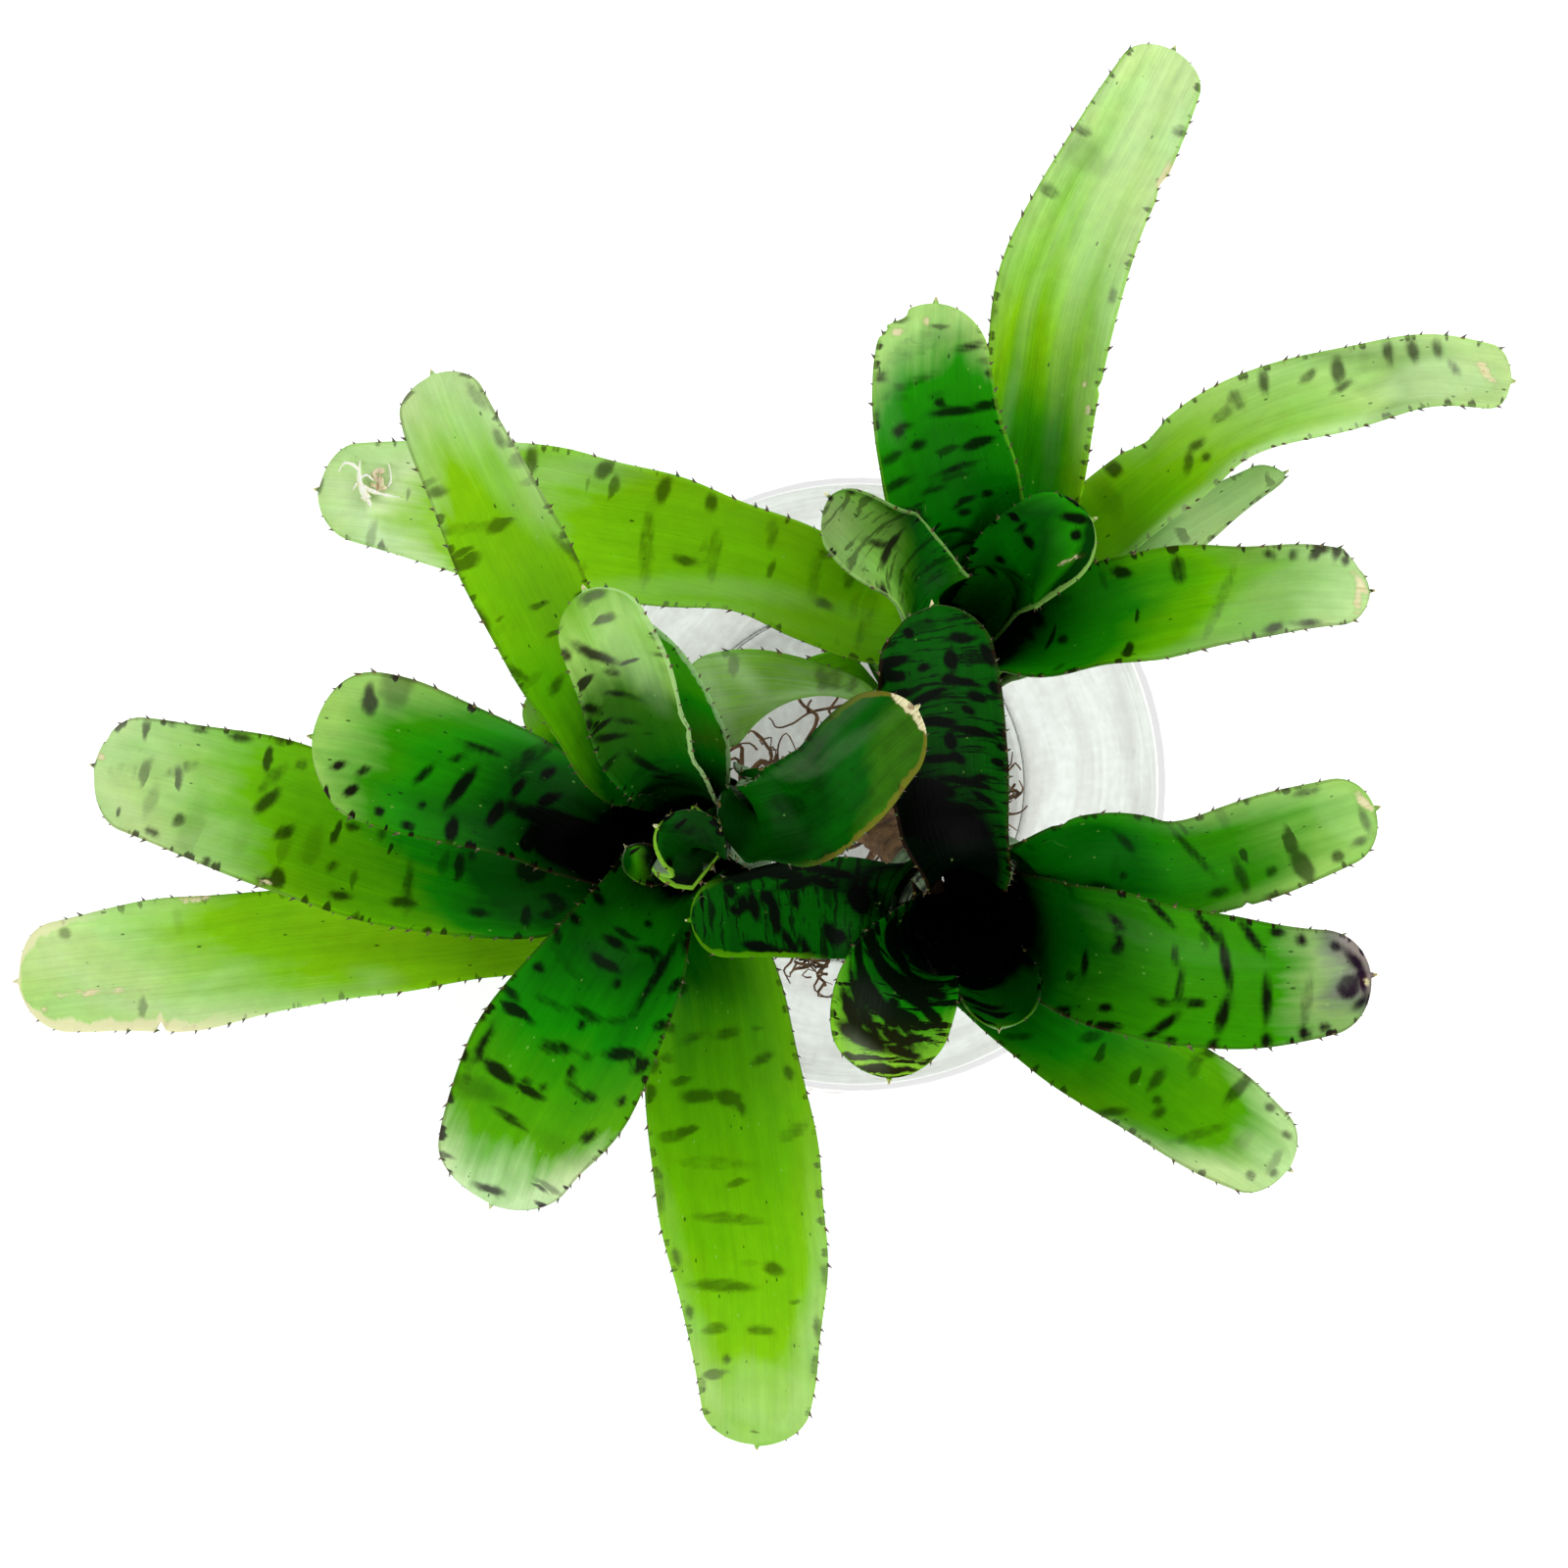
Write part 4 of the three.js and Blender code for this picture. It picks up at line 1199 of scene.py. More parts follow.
class LeafMaterials:
    """Builds the shared node groups once, and a material from them for each leaf."""

    YELLOWER = (2.6, 1.04, 1.0, 1.0)
    BARRED = (0.06, 0.025, 0.08, 1.0)
    # Painted reflection: the pale lift that the painted sheen adds to the colour.
    SHEEN_LIFT = (0.24, 0.24, 0.22, 1.0)

    def __init__(self) -> None:
        """Makes the groups and the spines' material."""
        self.drift, self.grain, self.bars = colour_drift(), leaf_grain(), leaf_bars()
        self.specks, self.sheen, self.scuffs = leaf_specks(), leaf_sheen(), leaf_scuffs()
        self.rim, self.wither = leaf_rim(), leaf_wither()
        self.underside, self.relief = leaf_underside(), leaf_relief()
        self.spine = self.spine_horn()

    def spine_horn(self) -> Material:
        """Makes the horn of the spines: green at the foot and brown at the point.

        Returns:
            The material.
        """
        material, wiring, surface = blank("spine_horn")
        mottle = wiring.place().noise((0.8, 0.8, 0.8), 3)
        moved = (mottle - 0.5) * 0.9 + wiring.attribute("spine_share")
        foot = wiring.mix(mottle.span(0.35, 0.65), Tint.FOREST, Tint.OCHRE)
        wiring.fill(surface, {"Base Color": wiring.mix(moved.span(0.12, 0.62), foot, Tint.UMBER),
                              "Roughness": mottle.span(0.2, 0.8, 0.35, 0.6)})
        return material

    def material(self, leaf: Leaf, finish: LeafFinish) -> Material:
        """Makes one leaf's material.

        Args:
            leaf: The leaf.
            finish: Its colours and markings.

        Returns:
            The material.
        """
        material, wiring, surface = blank(f"{leaf.name}_skin")
        mix = wiring.mix
        place, share, edge, mark, sheen_depth, dry = (
            wiring.attribute(name, "Vector" if name == "leaf_place" else "Fac")
            for name in ("leaf_place", "leaf_share", "leaf_edge", "leaf_mark", "leaf_milky",
                         "leaf_dry"))
        upper = wiring.attribute("leaf_upper").span(0.08, 0.4)

        drift = wiring.group(self.drift, Place=place, Share=share, Drift=finish.drift)
        ramp = wiring.node("ShaderNodeValToRGB", {0: drift["Share"]})
        finish.set_stops(ramp.node.color_ramp)
        run = ramp[0]
        grain = wiring.group(self.grain, Place=place, Strength=finish.streaks)
        yellower = mix(1.0, run, self.YELLOWER, "MULTIPLY")
        top = mix(1.0, mix(drift["Warmth"] * finish.warmth, run, yellower), grain["Shade"],
                  "MULTIPLY")
        specks = wiring.group(self.specks, Place=place, Cover=finish.specks)
        top = mix(specks["Dark"] * 0.7, top, Tint.PITCH)
        top = mix(specks["Pale"] * 0.3, top, Tint.SAGE)
        scurf = wiring.group(self.underside, Place=place)["Scurf"]
        below = mix(scurf * finish.scurf, mix(0.5, run, finish.below), Tint.SILVER)
        colour = mix(upper, mix(0.6, below, grain["Shade"], "MULTIPLY"), top)

        bars = wiring.group(
            self.bars, Place=place, Mark=mark, Edge=edge, Cover=finish.bars,
            Length=finish.bar_size[0], Breadth=finish.bar_size[1], Bands=finish.bands)["Mask"]
        colour = mix(bars.span(0.0, finish.full, 0.0, finish.dark), colour,
                     mix(1.0, colour, self.BARRED, "MULTIPLY"))
        scuffs = wiring.group(self.scuffs, Place=place, Cover=finish.scuffs)["Mask"]
        colour = mix(scuffs * 0.4, colour, Tint.MINT)
        # Painted reflection: a pale milky sheen of the white surroundings, painted over the colour.
        sheen = wiring.group(self.sheen, Place=place, Depth=sheen_depth)["Mask"]
        painted_reflection = mix(0.35, mix(1.0, colour, self.SHEEN_LIFT, "ADD"), Tint.FROST)
        colour = mix(sheen * finish.sheen, colour, painted_reflection)
        rim = wiring.group(
            self.rim, Place=place, Edge=edge, Width=finish.rim_width, Share=share,
            First=finish.rim_first, Side=finish.rim_side)["Mask"]
        colour = mix(rim * finish.rim_strength, colour, finish.rim)
        wither = wiring.group(self.wither, Place=place, Dry=dry)
        dead = mix(grain["Lines"].span(0.1, 0.62), finish.dead, Tint.CREAM)
        colour = mix(wither["Stain"], mix(wither["Mask"], colour, dead), Tint.RUST)

        dull = wither["Mask"].most(0.6 - upper)
        relief = wiring.group(self.relief, Place=place)["Height"]
        wiring.fill(surface, {
            "Base Color": colour, "Specular IOR Level": 0.03,
            "Roughness": dull * 0.25 + grain["Lines"].span(0.25, 0.75, 0.33, 0.46, soft=False),
            "Normal": wiring.bump(0.55, 0.45, relief)})
        return material


@dataclass
class LeafBody:
    """One leaf as a thin, closed body with its spines."""

    leaf: Leaf
    finish: LeafFinish
    seed: int
    columns: int = 27
    sheath_step: float = 2.4
    blade_step: float = 1.1
    tip_rows: int = 16
    mucro: float = 1.3  # the point of the tip
    mucro_start: float = 1.5
    mucro_half_width: float = 0.9
    least_half_width: float = 0.12
    middle_thickness: float = 1.3
    edge_thickness: float = 0.7
    tip_thinning: float = 0.4
    edge_bulge: float = 0.8
    margin_wave: float = 0.5
    middle_wave: float = 0.22
    wave_lengths: tuple[float, float] = (24, 44)
    wave_fade: tuple[float, float] = (4, 24)  # where waves start past the sheath, and grow over
    spine_spacing: float = 4.4
    spine_line_step: float = 0.9
    first_spine: float = 0.92  # share of the sheath where spines start
    last_spine: float = 0.12  # share of the tip that has none
    spine_growth: float = 15  # millimetres over which they reach their full size
    first_size: float = 0.55  # of the first spine
    tip_loss: float = 0.4  # share of their size that spines lose towards the tip
    pattern_step: float = 17  # sets the patterns of two leaves apart
    dark_layers: int = 3  # up to this layer, a leaf is passed the slot name dark_leaf
    course: LeafCourse = field(init=False)
    phases: Array = field(init=False)
    waves: Array = field(init=False)

    def __post_init__(self) -> None:
        """Works out the course, and draws the leaf's own waves from its seed."""
        self.course = LeafCourse(self.leaf)
        chances = np.random.default_rng(self.seed)
        self.phases = chances.uniform(0, 2 * np.pi, 4)
        self.waves = chances.uniform(*self.wave_lengths, 4)

    def rows(self) -> Array:
        """Returns the lengths at which the leaf has a row of points."""
        course = self.course
        end, tip_start = course.sheath_end, course.length - course.tip_length
        sheath = np.linspace(0, end, max(3, int(end / self.sheath_step)))
        blade = np.linspace(end, tip_start, max(3, int((tip_start - end) / self.blade_step)))[1:]
        quarter = np.linspace(0, np.pi / 2, self.tip_rows + 1)[1:]
        point = course.length + self.mucro * np.linspace(0, 1, 5)[1:]
        return np.concatenate([sheath, blade, tip_start + course.tip_length * np.sin(quarter),
                               point])

    def tone(self, lengths: Array, across: Array) -> Array:
        """Returns how far along their run of colours points are."""
        # The halo term paints a pale glow of light along the margins.
        margin = 2 * np.clip(np.abs(across) - 0.5, 0, 1)
        return (self.course.blade_share(lengths) + self.finish.slant * across
                + self.finish.halo * margin)

    def half_widths(self, lengths: Array) -> Array:
        """Works out the half width on each side, with the tip's point and the bites.

        Args:
            lengths: Lengths along the midline.

        Returns:
            A row of left and right half width for each length.
        """
        course = self.course
        past = (lengths - course.length + self.mucro_start) / (self.mucro + self.mucro_start)
        point = self.mucro_half_width * np.clip(1 - past, 0, 1) ** 0.8
        whole = (course.plain_half_widths(lengths)**3 + point**3) ** (1 / 3)
        widths = np.repeat(np.maximum(whole, self.least_half_width)[:, None], 2, axis=1)
        span = course.length - course.sheath_end
        for nick in self.finish.nicks:
            away = np.abs(course.blade_share(lengths) - nick.share) * span / nick.half_length
            widths[:, (nick.side + 1) // 2] -= nick.depth * np.clip(1 - away, 0, 1) ** 0.7
        return np.maximum(widths, self.least_half_width)

    def sheet(self, lengths: Array, across: Array) -> tuple[Array, Array, Array, Array]:
        """Finds points of the gently waving middle sheet.

        Args:
            lengths: Lengths along the midline.
            across: Shares of the half width, from -1 to 1.

        Returns:
            Points, normals, outward directions and half widths.
        """
        widths = self.half_widths(lengths)
        points, normals, outward = self.course.sheet(lengths, widths, across)
        start, growth = self.wave_fade
        fade = smooth((lengths - self.course.sheath_end - start) / growth)[:, None]
        turns = 2 * np.pi * lengths[:, None] / self.waves + self.phases
        margins = np.where(across < 0, np.sin(turns[:, :1]), np.sin(turns[:, 1:2]))
        wave = (self.margin_wave * margins * np.abs(across) ** 2.6
                + self.middle_wave * np.sin(turns[:, 2:3] + 1.7 * across))
        return points + normals * (fade * wave)[..., None], normals, outward, widths

    def depth_inside(
        self, lengths: Array, aside: Array, patches: Mapping[str, Sequence[Patch]],
        reach: tuple[float, float],
    ) -> Array:
        """Works out how deep inside any of the leaf's patches each point is.

        Args:
            lengths: Length along the midline of each point.
            aside: Distance from the midline of each point.
            patches: The patches of every leaf.
            reach: Depths at which a patch starts to show and shows in full.

        Returns:
            Millimetres inside the nearest patch, below zero outside them all.
        """
        depth = np.full(lengths.shape, OUTSIDE)
        course = self.course
        for patch in patches.get(self.leaf.label, ()):
            middle = course.sheath_end + patch.share * (course.length - course.sheath_end)
            width = float(course.plain_half_widths(np.array([middle]))[0])
            across, along = aside - patch.across * width, lengths - middle
            turn = math.radians(patch.tilt)
            first = (across * math.cos(turn) + along * math.sin(turn)) / patch.half_across
            second = (along * math.cos(turn) - across * math.sin(turn)) / patch.half_along
            inside = (1.15 - np.hypot(first, second)) * min(patch.half_across, patch.half_along)
            most = reach[0] + (reach[1] - reach[0]) * patch.weight
            depth = np.maximum(depth, np.minimum(inside, most))
        return depth

    def body_mesh(self) -> Mesh:
        """Makes the leaf's closed skin with the attributes that its material reads.

        Returns:
            The mesh.
        """
        course, lengths = self.course, self.rows()
        across = np.linspace(-1, 1, self.columns)
        points, normals, outward, widths = self.sheet(lengths, across)
        thickness = (self.edge_thickness
                     + (self.middle_thickness - self.edge_thickness) * (1 - across**2))
        half = thickness[None] / 2 * (1 - self.tip_thinning * course.into_tip(lengths)[:, None])
        half = np.minimum(half, 0.1 + 0.55 * widths.min(axis=1)[:, None])
        offset = normals * half[..., None]
        bulge = outward * (half * self.edge_bulge)[..., None] * across[:, None]
        ring = np.concatenate([
            points + offset, points[:, -1:] + bulge[:, -1:],
            (points - offset)[:, ::-1], points[:, :1] + bulge[:, :1]], axis=1)
        count, loop = ring.shape[:2]

        shares = np.concatenate([across, [1.0], across[::-1], [-1.0]])
        reach = np.where(shares < 0, widths[:, :1], widths[:, 1:])
        aside = reach * shares
        length_of = np.repeat(lengths[:, None], loop, axis=1)
        edge = np.minimum(reach - np.abs(aside), (course.length + self.mucro - length_of) * 0.8)
        is_upper = np.concatenate([np.ones(self.columns), [0.5], np.zeros(self.columns), [0.5]])
        dry = np.maximum(self.depth_inside(length_of, aside, WITHERED, (0, 2)),
                         length_of - (course.length - self.finish.dry_tip))
        apart = np.full_like(aside, self.pattern_step * self.seed)
        place = np.stack([aside, length_of, apart], axis=-1)

        faces = [face[1:] + face[:1] for face in wall_faces(count, loop)]
        faces += self.cap(0, loop, False) + self.cap((count - 1) * loop, loop, True)
        return plain_mesh(
            self.leaf.name + "_body", ring.reshape(-1, 3), faces,
            leaf_place=place.reshape(-1, 3), leaf_share=self.tone(length_of, shares).ravel(),
            leaf_edge=edge.ravel(), leaf_upper=np.tile(is_upper, count),
            leaf_mark=self.depth_inside(length_of, aside, MARKS_AND_SHADE, MARK_RANGE).ravel(),
            # depth inside the patches of painted sheen
            leaf_milky=self.depth_inside(length_of, aside, PAINTED_SHEEN, SHEEN_RANGE).ravel(),
            leaf_dry=dry.ravel())

    def cap(self, first: int, loop: int, tip: bool) -> list[list[int]]:
        """Closes an end of the leaf.

        Args:
            first: Number of the first point of its row.
            loop: Points in a row.
            tip: Whether it is the end at the tip.

        Returns:
            The faces.
        """
        columns = self.columns
        faces = [[j, j + 1, loop - 3 - j, loop - 2 - j] for j in range(columns - 1)]
        faces += [[columns - 1, columns, columns + 1], [0, loop - 2, loop - 1]]
        return [[first + i for i in (face[::-1] if tip else face)] for face in faces]

    def margin_mesh(self) -> Mesh:
        """Makes the lines along both margins that the spines stand on.

        Returns:
            A mesh of edges with outward, forward and spine_size.
        """
        course, sides = self.course, np.array([-1.0, 1.0])
        lengths = np.arange(
            course.sheath_end * self.first_spine,
            course.length - course.tip_length * self.last_spine, self.spine_line_step)
        points, _, outward, _ = self.sheet(lengths, sides)
        forward = unit(np.gradient(points, axis=0))
        into_tip = smooth((lengths - course.length + course.tip_length) / course.tip_length)
        grown_up = smooth((lengths - lengths[0]) / self.spine_growth)
        size = self.first_size + (1 - self.first_size) * grown_up
        size = size * (1 - self.tip_loss * into_tip)
        edges = [(2 * row + side, 2 * row + 2 + side)
                 for side in (0, 1) for row in range(len(lengths) - 1)]
        return plain_mesh(
            self.leaf.name + "_margins", points.reshape(-1, 3), [], edges,
            outward=square_to(forward, outward * sides[:, None]).reshape(-1, 3),
            forward=forward.reshape(-1, 3), spine_size=np.repeat(size, 2))

    def build(self, materials: LeafMaterials, rows_of_spines: NodeTree) -> Piece:
        """Builds and dresses the leaf.

        Args:
            materials: The shared leaf materials.
            rows_of_spines: The tree that grows spines on a margin.

        Returns:
            The finished piece, which stands for its CAD node.
        """
        name = self.leaf.name
        body = self.body_mesh()
        body.materials.append(materials.material(self.leaf, self.finish))
        spines = grown(name + "_spines", self.margin_mesh(), rows_of_spines,
                       Spacing=self.spine_spacing * MM, Seed=self.seed, Material=materials.spine)
        slot = "dark_leaf" if self.leaf.layer <= self.dark_layers else "green_leaf"
        return finished(name + "_spined", joined(name + "_spined", [body, spines]), slot, name)


LEAVES: tuple[Leaf, ...] = (
    Leaf("left_01", 4, 44, 44, 1.8, (
        (-51, 5.5, 105, 10, 42), (-56, 15, 120, 10.5, 38), (-63, 29, 132, 11.5, 32),
        (-69.5, 43, 143, 11.5, 28), (-76, 57.5, 151, 10.5, 26), (-82, 70, 152, 9, 24),
        (-86, 80.5, 149, 7.5, 22))),
    Leaf("left_02", 2, 50, 50, 2, (
        (-43.5, 5, 127, 9.5, 52), (-46, 12.5, 144, 10.5, 50), (-47.5, 21, 159, 10.5, 46),
        (-51, 29, 169, 9, 38), (-54, 36, 173, 7.5, 32))),
    Leaf("left_03", 6, 46, 38, 2.6, (
        (-58, -12.5, 86.5, 11, 38), (-68, -5.5, 101, 13, 40), (-81.5, 0.5, 109, 15, 38),
        (-96, 5.5, 113, 16.5, 30), (-106, 8.5, 115, 15.5, 26), (-116.5, 10, 114, 12.5, 24))),
    Leaf("left_04", 7, 50, 36, 2.6, (
        (-60.5, -19.5, 86, 12, 42), (-73, -21, 92, 13.5, 38), (-90, -18.5, 96, 15, 34),
        (-106.5, -13.5, 98, 16.5, 28), (-123.5, -7.5, 99, 16.5, 24), (-141, -2.5, 97, 15, 22),
        (-156.5, 1.5, 95, 13, 20), (-169, 4, 92, 11, 20))),
    Leaf("left_05", 8, 50, 34, 2.6, (
        (-59, -26, 79, 10, 40), (-69.5, -30, 83, 11, 36), (-87, -33, 86, 11, 32),
        (-104, -34.5, 88, 12, 28), (-125.5, -36.5, 89, 13, 24), (-147.5, -39.5, 88, 15, 22),
        (-167.5, -41.5, 87, 13.5, 20), (-188, -44, 85, 11, 18))),
    Leaf("left_06", 3, 58, 42, 2.6, (
        (-48, -29, 93.5, 12, 42), (-53.5, -39.5, 101, 16.5, 42), (-60.5, -52, 104, 19, 34),
        (-67.5, -63.5, 104, 19.5, 28), (-75, -76.5, 101, 16.5, 24), (-81, -92, 96, 12.5, 22))),
    Leaf("left_07", 5, 48, 36, 2.6, (
        (-37.5, -32, 83, 12, 44), (-33, -43.5, 88, 15.5, 40), (-30, -65, 91, 18, 32),
        (-27, -87, 90, 19, 28), (-24, -109.5, 87, 17, 26), (-23, -132, 83, 13.5, 24),
        (-23, -149.5, 79, 10.5, 22))),
    Leaf("left_08", 6, 48, 38, 2.6, (
        (-21, -7.5, 116, 9, 42), (-13.5, -5.5, 123, 12, 42), (-6, 0, 140, 11.5, 34),
        (0.5, 7.5, 153, 10.5, 28), (8.5, 14.5, 161, 8.5, 24))),
    Leaf("left_09", 1, 54, 50, 0.7, (
        (-37, -13.5, 107, 9.5, 58), (-38.5, -11.5, 117, 8.5, 60), (-43, -9, 122, 6.5, 52))),
    Leaf("left_10", 9, 30, 30, 2.6, (
        (-55.5, 0, 74, 7.5, 34), (-61, 7, 82, 8.5, 30), (-66, 14, 86, 8.5, 28),
        (-70, 23, 87, 7, 24))),
    Leaf("left_11", 3, 47, 46, 2.2, (
        (-33, 1.5, 96.5, 6, 38), (-36.5, 11, 114, 7.5, 40), (-41.5, 21, 129.5, 7, 36),
        (-50, 31.5, 143, 5, 34))),
    Leaf("left_12", 0, 38, 48, 0.1, (
        (-46, -17.5, 107, 4.5, 38), (-50, -13.5, 113, 4.5, 40))),
    Leaf("front_01", 2, 54, 46, 2.6, (
        (21.5, -17, 109, 10.5, 46), (18, -6, 122, 12, 40), (15.5, 6, 137, 13, 34),
        (13.5, 18.5, 151, 12.5, 30), (11.5, 34, 162, 9.5, 26))),
    Leaf("front_02", 3, 54, 42, 2.6, (
        (4.5, -27, 98, 11.5, 40), (-5, -26.5, 103, 11.5, 34), (-15.5, -27, 103, 10.5, 24),
        (-26.5, -28.5, 102.5, 9, 20), (-37, -29.5, 101, 8, 18))),
    Leaf("front_03", 1, 58, 48, 1.6, (
        (9, -37, 105.5, 10.5, 48), (7, -41.5, 116, 13, 48), (5.5, -48.5, 122, 13.5, 42),
        (5, -61, 124, 10, 34))),
    Leaf("front_04", 0, 62, 48, 0.2, (
        (29.5, -45.5, 102, 10.5, 54), (29, -52, 111, 10, 46))),
    Leaf("front_05", 4, 48, 40, 2.6, (
        (39.5, -19, 93, 11.5, 42, 10), (51, -17, 104, 12, 40, 6), (65, -18, 115, 11, 36),
        (78, -14.5, 123, 11, 32), (90, -10, 128, 10, 28), (104.5, -5, 129, 8.5, 26))),
    Leaf("front_06", 1, 50, 44, 2.6, (
        (44.5, -35, 103, 14, 44), (53.5, -37, 116, 15.5, 40), (64, -39.5, 126, 15, 34),
        (77, -40.5, 133, 13.5, 30), (89, -40, 137, 11.5, 26), (101.5, -38.5, 138, 9.5, 24))),
    Leaf("front_07", 3, 50, 38, 2.6, (
        (37.5, -49.5, 88, 12, 44), (49.5, -56, 97, 13, 42), (61.5, -63, 103, 13, 36),
        (76, -72.5, 106, 12, 30), (92, -83, 104, 8.5, 26))),
    Leaf("back_01", 5, 50, 38, 2.6, (
        (11.5, 36.5, 92, 12, 42), (1.5, 37.5, 97, 12, 38), (-10.5, 42.5, 102, 12, 36),
        (-25, 48, 105, 12, 32), (-40, 51.5, 106, 14, 28), (-57, 54.5, 106, 15.5, 26),
        (-74, 58, 104, 15.5, 24), (-90, 60.5, 101, 14, 22), (-104.5, 63, 99, 11.5, 20),
        (-118.5, 64.5, 97, 9, 20))),
    Leaf("back_02", 2, 56, 46, 2.6, (
        (22, 55.5, 106, 13, 46), (18, 63, 116, 15.5, 42), (14.5, 73, 125, 14, 34),
        (13.5, 83, 131, 12.5, 28), (14, 97.5, 135, 10, 26))),
    Leaf("back_03", 3, 54, 40, 2.6, (
        (35, 58, 94, 12, 42), (36.5, 70, 103, 12.5, 40), (38, 85, 109, 13, 34),
        (40.5, 102, 113, 13.5, 30), (47, 119.5, 114, 12.5, 28), (56, 136.5, 112, 11, 26),
        (66.5, 157, 108, 8.5, 24))),
    Leaf("back_04", 4, 52, 38, 2.6, (
        (46, 50, 88, 11.5, 44, -15), (55.5, 57.5, 96, 11, 46, -20), (66.5, 66, 102, 10.5, 46, -25),
        (77, 74.5, 106, 10.5, 44, -25), (90, 80, 109, 10, 38, -18), (105.5, 84.5, 110, 9, 32, -10),
        (121.5, 88, 108, 8, 28, -4), (140, 87, 104, 6.5, 26))),
    Leaf("back_05", 5, 50, 32, 2.6, (
        (49, 43.5, 80, 10, 40, -22), (58.5, 47, 87, 9.5, 42, -34), (68.5, 53, 92, 9, 42, -40),
        (79.5, 60, 94, 7, 42, -48), (93, 68, 95, 5, 38, -50))),
    Leaf("back_06", 2, 50, 42, 2.6, (
        (45, 32.5, 98, 13, 50, -15), (54, 35, 106, 13.5, 52, -22), (65.5, 38, 112, 12.5, 40, -10),
        (78.5, 40, 115, 10.5, 32), (91.5, 41.5, 116, 9, 28), (107, 41, 114, 7.5, 24))),
    Leaf("back_07", 1, 62, 46, 0.8, (
        (15, 35.5, 106, 12, 56), (10.5, 40, 120, 11.5, 52, 20), (4.5, 46.5, 131, 10.5, 48, 30),
        (-1, 52, 137, 8.5, 42, -20), (-7.5, 58, 137, 7.5, 38, -45))),
    Leaf("back_08", 0, 62, 48, 0.4, (
        (34, 48, 106, 11, 54), (40, 51.5, 114, 11.5, 46), (48, 55.5, 117, 9.5, 36))),
    Leaf("back_09", 6, 41, 28, 2.6, (
        (5.5, 21, 74.5, 9, 34, 10), (-2.5, 20.5, 84, 11, 40, 50), (-12.5, 19.5, 95, 12, 42, 95),
        (-25.5, 17.5, 100, 12.5, 34, 140), (-40, 15, 99, 11, 30, 160))),
)
